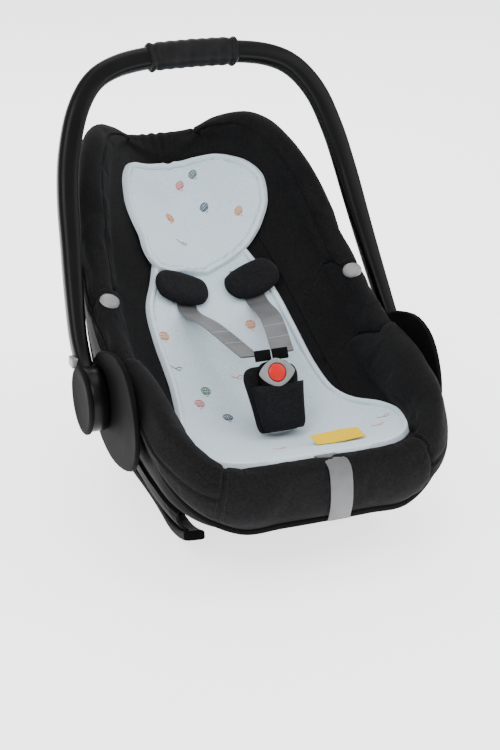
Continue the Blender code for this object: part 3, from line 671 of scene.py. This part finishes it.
def make_head_panel(spans, material):
    """Gathered panel over the middle of the head end."""
    ts = list(np.linspace(HEAD_SEAM, HEAD_MIDDLE, 24)) + list(-np.linspace(HEAD_MIDDLE, HEAD_SEAM, 24)[1:])
    grid = relaxed([band_section(t) for t in ts], 3)
    normals = upward_normals(grid, len(ts) // 2, CREST_COLUMN)
    heights = np.zeros(grid.shape[:2])
    for i, t in enumerate(ts):
        for column in range(grid.shape[1]):
            x = grid[i, column, 0]
            gather = 0.0013 * math.sin(2 * math.pi * x / 0.014) * math.exp(-((x + 0.010) / 0.022) ** 2)
            fade = ease((column - 13) / 5) * ease((INNER_STEPS + CREST_STEPS + 6 - column) / 8)
            heights[i, column] = band_heights(t, column, spans) + gather * fade
    top = grid + normals * heights[..., None]
    under = grid - normals * PANEL_SKIN
    return closed_slab("cover_head_panel", top, under, material)


def make_inner_cover(material):
    """Seat and back of the cover, mostly under the liner, with a seam where they meet."""
    vs = np.linspace(1.3, 10.6, 110)
    us = np.linspace(-0.52, 0.52, 60)
    grid = lattice(lambda v, u: raised(hollow, u, v, -0.0006), vs, us)
    normals = upward_normals(grid, len(vs) // 2, len(us) // 2)
    heights = np.array([[-0.003 * math.exp(-((v - 5.0) / 0.06) ** 2) + wrinkle(grid[i, j], 30, 0.0006)
                         for j in range(len(us))] for i, v in enumerate(vs)])
    return closed_slab("cover_seat_and_back", grid + normals * heights[..., None], grid - normals * 0.006,
                       material)


# ---------------------------------------------------------------- liner
# Liner outline as (v, left share, right share) rows: the head part laps over the top of the body part.
LINER_HEAD = ((7.48, -0.39, -0.33), (7.58, -0.44, -0.23), (7.63, -0.46, -0.02), (7.73, -0.485, 0.16),
              (7.83, -0.50, 0.36), (7.98, -0.515, 0.49), (8.18, -0.545, 0.585), (8.43, -0.575, 0.64),
              (8.73, -0.60, 0.675), (9.28, -0.62, 0.66), (9.93, -0.605, 0.61), (10.28, -0.57, 0.575),
              (10.60, -0.50, 0.52), (10.90, -0.41, 0.44), (11.15, -0.30, 0.31), (11.32, -0.16, 0.17))
LINER_BODY = ((0.20, -0.38, 0.38), (0.36, -0.50, 0.52), (0.90, -0.60, 0.62), (1.70, -0.66, 0.69),
              (2.50, -0.64, 0.68), (3.10, -0.58, 0.60), (3.70, -0.50, 0.47), (4.30, -0.455, 0.40),
              (5.03, -0.44, 0.38), (6.00, -0.48, 0.38), (6.60, -0.49, 0.38), (7.20, -0.44, 0.37),
              (7.90, -0.40, 0.35))
LINER_BAND = 0.0095


def make_liner_part(name, outline, rows, extra, materials):
    """One bound sheet of spacer mesh lying in the hollow.  Returns it, its stitch lines and its own surface."""
    columns = 81
    stations = np.array([row[0] for row in outline])
    vs = np.linspace(stations[0], stations[-1], rows)
    turns = np.interp(vs, stations, np.arange(len(outline)))
    spans = [through([np.array(row) for row in outline], turn) for turn in turns]
    params = [[(span[1] + (span[2] - span[1]) * a, v) for a in np.linspace(0, 1, columns)]
              for span, v in zip(spans, vs)]
    base = np.array([[hollow(u, v) for u, v in row] for row in params])
    normals = np.array([[normal_at(hollow, u, v) for u, v in row] for row in params])
    border = [base[i, j] for i in range(rows) for j in (0, columns - 1)]
    border += [base[i, j] for i in (0, rows - 1) for j in range(columns)]
    tree = KDTree(len(border))
    for index, point in enumerate(border):
        tree.insert(point, index)
    tree.balance()
    distance = np.array([[tree.find(point)[2] for point in row] for row in base])
    body = 0.0042 + 0.0014 * np.clip((distance - LINER_BAND) / 0.02, 0, 1)
    edge = 0.0060 * np.sqrt(np.clip(1 - (1 - np.clip(distance / 0.0040, 0, 1)) ** 2, 0, 1))
    height = np.where(distance < LINER_BAND, edge, body)
    height -= 0.0026 * np.exp(-((distance - LINER_BAND) / 0.0011) ** 2)
    folds = np.array([[wrinkle(p, 22, 0.0016) + wrinkle(p, 60, 0.0004) for p in row] for row in base])
    lift = np.array([[extra(u, v) for u, v in row] for row in params])
    height = 0.0024 + lift + np.maximum(height + folds * np.clip(distance / 0.02, 0, 1), 0.0006)
    top = base + normals * height[..., None]
    sheet = closed_slab(name, top, base + normals * (0.0008 + lift[..., None]), materials["liner"])
    sheet.data.materials.append(materials["liner_edge"])
    for face in sheet.data.polygons:
        if tree.find(face.center)[2] < LINER_BAND:
            face.material_index = 1
    return sheet, contour_lines(top, distance, LINER_BAND), Skin(top)


class Skin:
    """Nearest-point look-up on a grid of surface points."""

    def __init__(self, top):
        rows, columns = top.shape[:2]
        faces = [(i * columns + j, i * columns + j + 1, (i + 1) * columns + j + 1, (i + 1) * columns + j)
                 for i in range(rows - 1) for j in range(columns - 1)]
        self.tree = BVHTree.FromPolygons([tuple(p) for p in top.reshape(-1, 3)], faces)

    def onto(self, point):
        return np.array(self.tree.find_nearest(Vector(point))[0])


def make_liner(materials):
    """Thin summer liner in two lapped sheets, with bound edges and printed motifs."""
    body, body_lines, body_skin = make_liner_part("seat_liner_body", LINER_BODY, 170, lambda u, v: 0.0, materials)
    place(body, "seat", "liner_fabric", "liner_body")
    lap = lambda u, v: 0.0008 + 0.0048 * ease((8.7 - v) / 0.8)
    head, head_lines, head_skin = make_liner_part("seat_liner_head", LINER_HEAD, 120, lap, materials)
    place(head, "seat", "liner_fabric", "liner_head")
    dashes("liner_stitches", body_lines + head_lines, 0.0022, 0.0010, 0.00030, materials["thread"], "seat",
           "liner_fabric")
    make_prints(head_skin, body_skin, materials)


def balloon_strokes(radius):
    """Striped balloon with a small basket below it, as flat polylines."""
    lines = []
    for bow in (-1.0, -0.62, -0.22, 0.22, 0.62, 1.0):
        lines.append([(bow * radius * math.sin(a) * (1.0 if math.cos(a) > 0 else 0.92), radius * math.cos(a))
                      for a in np.linspace(0.12, math.pi - 0.35, 12)])
    lines.append([(x, radius * 0.12) for x in np.linspace(-radius * 0.95, radius * 0.95, 8)])
    lines.append([(x, -radius * 0.45) for x in np.linspace(-radius * 0.8, radius * 0.8, 8)])
    lines.append([(x, -radius * 1.42) for x in np.linspace(-radius * 0.24, radius * 0.24, 4)])
    return lines


def bird_strokes(length):
    """Loose bird-like marks."""
    return [[(x * length, 0.25 * length * abs(x) ** 0.7 + 0.08 * length * math.sin(9 * x))
             for x in np.linspace(-0.5, 0.5, 10)],
            [(0.15 * length + x * length * 0.4, -0.18 * length + 0.2 * length * abs(x)) for x in
             np.linspace(-0.5, 0.5, 6)]]


def make_prints(head_skin, body_skin, materials):
    """Small printed motifs, each a thin layer lying on the liner."""
    motifs = (("green", 0.33, 10.43), ("pink", 0.14, 10.43), ("navy", 0.26, 9.33), ("orange", -0.27, 9.08),
              ("orange", 0.43, 8.58), ("orange", -0.41, 6.03), ("orange", 0.14, 6.23), ("green", -0.23, 4.78),
              ("pink", -0.29, 4.43), ("navy", -0.16, 3.98))
    marks = (("navy", -0.21, 8.38), ("navy", -0.37, 5.33), ("orange", -0.04, 5.08), ("pink", 0.52, 2.43),
             ("orange", 0.44, 2.05), ("orange", -0.08, 1.62))
    strokes = {}
    for kind, size, placed in ((balloon_strokes, 0.0066, motifs), (bird_strokes, 0.017, marks)):
        for colour, u, v in placed:
            skin = head_skin if v > 7.6 else body_skin
            across = unit(hollow(u + 0.02, v) - hollow(u - 0.02, v))
            up = unit(hollow(u, v + 0.02) - hollow(u, v - 0.02))
            centre, normal = raised(hollow, u, v, 0.006), normal_at(hollow, u, v)
            for line in kind(size):
                path = [skin.onto(centre + across * x + up * y) + normal * 0.00025 for x, y in line]
                strokes.setdefault(colour, []).append((path, normal))
    for colour, lines in strokes.items():
        pieces = []
        for path, normal in lines:
            rings = swept(path, [(-0.00045, -0.00012), (0.00045, -0.00012), (0.00045, 0.00012),
                                 (-0.00045, 0.00012)], normal)
            pieces.append(tube("stroke", rings, materials[colour]))
        place(joined("liner_print_" + colour, pieces), "seat", "liner_fabric")


def contour_lines(points, values, level):
    """Short line pieces where a value on a grid crosses a level."""
    lines = []
    rows, columns = values.shape
    for i in range(rows - 1):
        for j in range(columns - 1):
            corners = ((i, j), (i, j + 1), (i + 1, j + 1), (i + 1, j))
            crossings = []
            for a, b in zip(corners, corners[1:] + corners[:1]):
                low, high = values[a], values[b]
                if (low < level) != (high < level):
                    f = (level - low) / (high - low)
                    crossings.append(points[a] * (1 - f) + points[b] * f)
            if len(crossings) == 2:
                lines.append(crossings)
    return chained(lines)


def chained(segments):
    """Joins segments that share an end into long lines."""
    segments = [list(segment) for segment in segments]
    key = lambda p: tuple(np.round(p, 6))
    at = {}
    for index, segment in enumerate(segments):
        for end in segment:
            at.setdefault(key(end), []).append(index)
    used, lines = set(), []
    for index in range(len(segments)):
        if index in used:
            continue
        used.add(index)
        line = list(segments[index])
        while True:
            following = [k for k in at[key(line[-1])] if k not in used]
            if not following:
                break
            used.add(following[0])
            a, b = segments[following[0]]
            line.append(b if key(a) == key(line[-1]) else a)
        lines.append(line)
    return lines


# ---------------------------------------------------------------- shell, base and rim
def make_shell(materials):
    """Moulded tub with a rolled rim."""
    vs = np.linspace(0, LAST, 150)
    us = np.linspace(-1, 1, 97)
    outer = lattice(lambda v, u: tub(u, v), vs, us)
    inner = lattice(lambda v, u: raised(tub, u, v, TUB_WALL), vs, us)
    shell = closed_slab("shell_moulding", inner, outer, materials["shell"])
    place(shell, "seat", "shell_plastic", "shell_tub")
    ts = list(np.linspace(0, 15, 190)) + list(-np.linspace(15, 0, 190)[1:-1])
    path = [on_loop(RIM_LOOP, t) + (0, 0, 0.0005) for t in ts]
    rings = swept(path, section(0.0062, 0.0085, 16, 2.4), (0, 0, 1), closed=True)
    rim = tube("shell_rim_bead", rings, materials["shell"], closed=True)
    place(rim, "seat", "shell_plastic")


# ---------------------------------------------------------------- carry handle
def handle_path(count):
    turns = np.linspace(0, len(HANDLE) - 1, count)
    half = [through(HANDLE, t) for t in turns]
    return half + [p * MIRROR for p in reversed(half[:-1])]


def make_handle(materials):
    """Two moulded halves joined along a fine parting line, with a disc at each end."""
    path = handle_path(90)
    def outline(i):
        rise = min(max((path[i][2] - 0.20) / 0.16, 0.0), 1.0)
        width = ARM_WIDTH + 0.006 * rise - 0.001 * (1 - rise)
        made = []
        for across, deep in section(width, BAR_DEPTH, 40, 3.0):
            parting = math.exp(-(deep / 0.0011) ** 2) * 0.0007
            made.append((across - math.copysign(parting, across), deep))
        return made
    lean = (0.0, math.cos(math.radians(31)), -math.sin(math.radians(31)))
    bar = tube("handle_bar_moulding", swept(path, outline, lean), materials["handle"])
    middle_x = ARM_INNER_X + ARM_WIDTH / 2
    half = ARM_WIDTH / 2
    profile = ((0, -half), (ARM_DISC_RADIUS - 0.004, -half), (ARM_DISC_RADIUS - 0.0012, -half + 0.0012),
               (ARM_DISC_RADIUS, -half + 0.004), (ARM_DISC_RADIUS, half - 0.004),
               (ARM_DISC_RADIUS - 0.0012, half - 0.0012), (ARM_DISC_RADIUS - 0.004, half), (0, half))
    discs = [turned("arm_disc_" + suffix, profile, np.array((side * middle_x, PIVOT_Y, PIVOT_Z)), (side, 0, 0),
                    materials["handle"], 72) for side, suffix in SIDES]
    handle = joined("carry_handle", [bar] + discs)
    place(handle, "handle", "handle_plastic", "handle_bar")
    for side, suffix in SIDES:
        face = side * (ARM_INNER_X + ARM_WIDTH + 0.0004)
        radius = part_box("hub_cap_" + suffix)[1].z - PIVOT_Z + 0.001
        dish = ((0, 0.0030), (radius * 0.55, 0.0034), (radius * 0.80, 0.0044), (radius * 0.90, 0.0050),
                (radius * 0.97, 0.0044), (radius, 0.0030), (radius, 0.0), (0, 0.0))
        cap = turned("hub_cover_" + suffix, dish, np.array((face, PIVOT_Y, PIVOT_Z - 0.001)), (side, 0, 0),
                     materials["cap"], 72)
        place(cap, "handle", "handle_plastic", "hub_cap_" + suffix)


def make_grip(materials):
    """Sewn leatherette sleeve round the middle of the handle, with hemmed ends."""
    dense = [through(HANDLE, t) for t in np.linspace(len(HANDLE) - 3, len(HANDLE) - 1, 80)]
    xs = np.array([p[0] for p in dense])[::-1]
    def at(x):
        return np.array([np.interp(abs(x), xs, [p[k] for p in dense][::-1]) for k in range(3)]) * (
            math.copysign(1, x) or 1, 1, 1)
    stations = np.linspace(-GRIP_HALF_LENGTH, GRIP_HALF_LENGTH, 61)
    path = [at(x) for x in stations]
    lean = (0.0, math.cos(math.radians(31)), -math.sin(math.radians(31)))
    def outline(i):
        edge = min(i, len(stations) - 1 - i)
        hem = 0.0009 * math.exp(-((edge - 2.5) / 1.6) ** 2) - 0.0012 * math.exp(-((edge - 5.0) / 0.9) ** 2)
        close = -0.0030 if edge == 0 else (-0.0008 if edge == 1 else 0.0)
        thick = 0.0035 + hem + close + 0.0004 * math.sin(i * 0.9)
        return section(0.028 + 2 * thick, BAR_DEPTH + 2 * thick, 48, 2.8)
    grip = tube("grip_sleeve_leather", swept(path, outline, lean), materials["grip"])
    place(grip, "handle", "grip_leather", "grip_sleeve")


# ---------------------------------------------------------------- harness
def on_pad(x, up, front):
    return PAD_FOOT + PAD_UP * up + PAD_FRONT * front + (x, 0, 0)


def webbing_grid(path, normals, across, width, thick, columns=13):
    """Top and under side of a strap with thicker woven edges and a slight crown."""
    top, under = [], []
    for point, normal in zip(path, normals):
        normal, side = unit(normal), unit(across)
        row_top, row_under = [], []
        for a in np.linspace(-1, 1, columns):
            crown = thick / 2 * (1 - 0.5 * a ** 8) + 0.0003 * math.exp(-((abs(a) - 0.86) / 0.06) ** 2)
            row_top.append(point + side * a * width / 2 + normal * crown)
            row_under.append(point + side * a * width / 2 - normal * crown)
        top.append(row_top)
        under.append(row_under)
    return np.array(top), np.array(under)


def make_shoulder_sets(materials):
    for side, suffix in SIDES:
        u = side * 0.235
        on_back = [raised(hollow, u, v, 0.0128) for v in (7.45, 7.05, 6.62)]
        free = [np.array((side * 0.0405, -0.030, 0.2265)), np.array((side * 0.0220, -0.1165, 0.2140))]
        route = on_back + free
        turns = np.linspace(0, len(route) - 1, 70)
        path = [through(route, t) for t in turns]
        back_normal = normal_at(hollow, u, 7.1)
        free_normal = np.array((0.0, -0.20, 0.98))
        normals = [back_normal + (free_normal - back_normal) * min(max((t - 1.5) / 1.5, 0), 1) for t in turns]
        across = np.cross(route[-1] - route[2], back_normal)
        across *= math.copysign(1.0, across[0])
        top, under = webbing_grid(path, normals, across, WEBBING_WIDTH, WEBBING_THICK)
        strap = closed_slab("shoulder_webbing_" + suffix, top, under, materials["webbing"])
        place(strap, "seat", "webbing", "shoulder_strap_" + suffix)
        hems = []
        for row in (56, 62):
            hems.append([p + unit(normals[row]) * 0.0002 for p in top[row]])
        dashes("shoulder_hems_" + suffix, hems, 0.0020, 0.0008, 0.0003, materials["thread"], "seat", "webbing")
        pad = make_shoulder_pad(side, suffix, materials)
        place(pad, "seat", "pad_fabric", "shoulder_pad_" + suffix)


def make_shoulder_pad(side, suffix, materials):
    """Soft rounded pad lying over the strap where it leaves the back."""
    middle_u, half_u, middle_v, half_v = 0.262, 0.176, 7.12, 0.37
    steps = np.linspace(-1, 1, 41)
    top, under = [], []
    for b in steps:
        row_top, row_under = [], []
        for a in steps:
            x, y = a * math.sqrt(1 - 0.42 * b * b), b * math.sqrt(1 - 0.42 * a * a)
            swell = math.sqrt(max((1 - abs(a) ** 4) * (1 - abs(b) ** 4), 0.0))
            u = side * (middle_u + half_u * (x - 0.12 * y))
            v = middle_v + half_v * (y + 0.16 * x)
            fold = wrinkle((u * 0.3, v * 0.05, 0.3 * side), 34, 0.0016)
            row_top.append(raised(hollow, u, v, 0.0148 + (0.0078 + fold) * swell))
            row_under.append(raised(hollow, u, v, 0.0148 - 0.0010 * swell))
        top.append(row_top)
        under.append(row_under)
    return closed_slab("shoulder_padding_" + suffix, np.array(top), np.array(under), materials["pad"])


LABEL_HALF_WIDTH, LABEL_HALF_DEPTH, LABEL_THICK = 0.031, 0.0125, 0.0009


def make_label(materials):
    """Plain woven label sewn on by its front edge, its back edge standing up a little."""
    low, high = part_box("liner_tag")
    centre = np.array((low + high) / 2)
    across = unit(hollow(0.20, 1.35) - hollow(0.10, 1.35))
    normal = normal_at(hollow, 0.155, 1.35)
    back = np.cross(normal, across)
    if back[1] < 0:
        back = -back
    top, under = [], []
    for b in np.linspace(-1, 1, 16):
        rise = 0.0012 + 0.0085 * ((b + 1) / 2) ** 1.3
        row = [centre + across * a * LABEL_HALF_WIDTH + back * (b * LABEL_HALF_DEPTH)
               + normal * (rise + 0.0006 * math.sin(3 * a + b))
               for a in np.linspace(-1, 1, 32)]
        top.append(row)
        under.append([point - normal * LABEL_THICK for point in row])
    label = closed_slab("liner_label", np.array(top), np.array(under), materials["tag"])
    place(label, "seat", "tag_fabric", "liner_tag")


def make_crotch(materials):
    """Padded crotch flap with a pocket that holds the buckle."""
    across = np.linspace(-1, 1, 30)
    edge = lambda a: math.sqrt(max(1 - abs(a) ** 6, 0.0))
    def flap(name, low, high, front, thick, half_of, swell_of):
        ups = np.linspace(low, high, 40)
        top = lattice(lambda up, a: on_pad(a * half_of(up), up, front + thick * edge(a) * swell_of(up)
                                           + wrinkle((a * 0.02, up, front), 60, 0.0008)), ups, across)
        under = lattice(lambda up, a: on_pad(a * half_of(up), up, front - thick * 0.6 * edge(a)), ups, across)
        return closed_slab(name, top, under, materials["pad"])
    width = lambda up: ((0.028 + 0.011 * (max(up, 0) / 0.088) ** 1.5)
                        * (0.60 + 0.40 * pillow(0.0900 - up, 0.020)) * (0.80 + 0.20 * pillow(up - 0.0065, 0.012)))
    ends = lambda up: math.sqrt(max(1 - abs((up - 0.048) / 0.0425) ** 8, 0.02))
    flap_back = flap("crotch_padding", 0.0065, 0.0900, 0.0, 0.0080, width, ends)
    place(flap_back, "seat", "pad_fabric", "crotch_pad")
    pocket = flap("crotch_pocket", 0.0070, 0.0640, 0.0200, 0.0085, lambda up: width(up) + 0.0002,
                  lambda up: 0.45 + 0.55 * pillow(min(up - 0.0070, 0.0640 - up), 0.012))
    place(pocket, "seat", "pad_fabric")


def make_buckle(materials):
    """Buckle housing with a grey face plate and a domed red button."""
    centre_up = 0.078
    def outline(count, width, height, squareness):
        return [(math.copysign(abs(math.cos(a)) ** (2 / squareness), math.cos(a)) * width / 2,
                 math.copysign(abs(math.sin(a)) ** (2 / squareness), math.sin(a)) * height / 2)
                for a in np.linspace(0, 2 * math.pi, count, endpoint=False)]
    levels = ((0.0095, 0.92), (0.0115, 1.0), (0.0225, 1.0), (0.0245, 0.97), (0.0255, 0.90))
    rings = [[on_pad(x * scale, 0.069 + y * scale, front) for x, y in outline(64, 0.043, 0.050, 3.2)]
             for front, scale in levels]
    body = tube("buckle_housing", rings, materials["base"])
    place(body, "seat", "base_plastic", "buckle_body")
    leaf = outline(64, 0.047, 0.036, 1.45)
    ring = [(0.0121 * math.cos(a), 0.0121 * math.sin(a)) for a in np.linspace(0, 2 * math.pi, 64, endpoint=False)]
    def circle(points, grow, front):
        return [on_pad(x * grow, centre_up + y * grow, front) for x, y in points]
    plate = tube("buckle_face_plate", [circle(ring, 1.0, 0.0256), circle(leaf, 1.0, 0.0256),
                                       circle(leaf, 1.0, 0.0268), circle(leaf, 0.94, 0.0276),
                                       circle(ring, 1.06, 0.0276), circle(ring, 1.0, 0.0270)],
                 materials["grey"], closed=True)
    place(plate, "seat", "grey_plastic")
    dome = ((0, 0.0030), (0.006, 0.0029), (0.0095, 0.0022), (0.0110, 0.0012), (0.0113, 0.0), (0.0113, -0.002),
            (0, -0.002))
    button = turned("buckle_button_dome", dome, on_pad(0, centre_up, 0.0262), PAD_FRONT, materials["red"], 64)
    place(button, "buckle_release", "red_plastic", "buckle_button")


def make_adjuster(materials):
    """Front strap that tightens the harness, laid over the padded lip."""
    points = rows_of(((0.004, -0.2795, 0.1480), (0.008, -0.2965, 0.1522), (0.011, -0.3110, 0.1518),
                      (0.012, -0.3210, 0.144), (0.012, -0.3260, 0.125), (0.012, -0.3260, 0.102),
                      (0.012, -0.3190, 0.080)))
    path = [through(points, t) for t in np.linspace(0, 6, 60)]
    normals = [np.cross((1, 0, 0), path[min(i + 1, 59)] - path[max(i - 1, 0)]) for i in range(60)]
    top, under = webbing_grid(path, normals, np.array((1.0, 0, 0)), WEBBING_WIDTH, WEBBING_THICK)
    strap = closed_slab("adjuster_webbing", top, under, materials["webbing"])
    place(strap, "seat", "webbing", "adjuster_strap")


# ---------------------------------------------------------------- small fittings
def make_fittings(materials):
    for side, suffix in SIDES:
        low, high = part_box("canopy_stud_" + suffix)
        centre = np.array((low + high) / 2)
        normal = unit(np.array((-0.22 * side, -0.32, 0.92)))
        dome = ((0, 0.0052), (0.0060, 0.0050), (0.0096, 0.0042), (0.0118, 0.0026), (0.0126, 0.0008),
                (0.0126, -0.002), (0, -0.002))
        stud = turned("canopy_button_" + suffix, dome, centre, normal, materials["grey"])
        place(stud, "seat", "grey_plastic", "canopy_stud_" + suffix)


def dress_frame(materials):
    """Gives every solid that stays visible its finish."""
    finishes = {"shell_plastic": "shell", "base_plastic": "base", "handle_plastic": "handle",
                "grip_leather": "grip", "cover_fabric": "cover", "liner_fabric": "liner", "tag_fabric": "tag",
                "pad_fabric": "pad", "webbing": "webbing", "steel": "steel", "grey_plastic": "grey",
                "red_plastic": "red", "foam": "base"}
    slots = {part["node"]: part["material_slot"] for part in frame["record"]["subparts"]}
    for name, obj in frame["nodes"].items():
        obj.data.materials.clear()
        obj.data.materials.append(materials[finishes[slots[name]]])


# ---------------------------------------------------------------- stage
def make_stage():
    pale = Finish("stage_floor", 0.6, Specular_IOR_Level=0.1, Emission_Color=(1, 1, 1, 1), Emission_Strength=2.0)
    pale.colour(pale.noise(2.0), (0.92, 0.92, 0.92), (0.95, 0.95, 0.95))
    bm = bmesh.new()
    bmesh.ops.create_grid(bm, x_segments=2, y_segments=2, size=6.0)
    floor = from_bmesh("floor", bm, pale.material)
    floor.location.z = -0.0005
    world = bpy.data.worlds.new("studio")
    bpy.context.scene.world = world
    world.use_nodes = True
    background = world.node_tree.nodes["Background"]
    background.inputs["Color"].default_value = (1, 1, 1, 1)
    background.inputs["Strength"].default_value = 0.95
    lights = (("key", (-1.6, -1.6, 2.4), 38.0, 1.6), ("fill", (1.9, -1.2, 1.7), 20.0, 1.8),
              ("rim", (0.4, 2.2, 2.0), 30.0, 1.6), ("top", (0.2, 0.0, 2.8), 20.0, 1.6))
    for name, spot, power, size in lights:
        light = bpy.data.lights.new(name, "AREA")
        light.energy, light.size = power, size
        lamp = link(bpy.data.objects.new(name, light))
        lamp.location = spot
        lamp.rotation_euler = (Vector((0, 0, 0.25)) - Vector(spot)).to_track_quat("-Z", "Y").to_euler()


def make_camera():
    """Camera to the seat's front right, looking down by 22.6 degrees."""
    azimuth, elevation, distance = math.radians(-21), math.radians(22.58), 2.033
    target = Vector((-0.0340, -0.1473, 0.2033))
    back = Vector((math.sin(azimuth) * math.cos(elevation), -math.cos(azimuth) * math.cos(elevation),
                   math.sin(elevation)))
    data = bpy.data.cameras.new("camera")
    data.lens, data.sensor_width = 79.5, 36.0
    camera = link(bpy.data.objects.new("camera", data))
    camera.location = target + back * distance
    camera.rotation_mode = "QUATERNION"
    camera.rotation_quaternion = (-back).to_track_quat("-Z", "Y")
    bpy.context.scene.camera = camera


make_camera()
MATERIALS = make_materials()
dress_frame(MATERIALS)
make_cover(MATERIALS)
make_liner(MATERIALS)
make_shell(MATERIALS)
make_handle(MATERIALS)
make_grip(MATERIALS)
make_shoulder_sets(MATERIALS)
make_label(MATERIALS)
make_crotch(MATERIALS)
make_buckle(MATERIALS)
make_adjuster(MATERIALS)
make_fittings(MATERIALS)
make_stage()
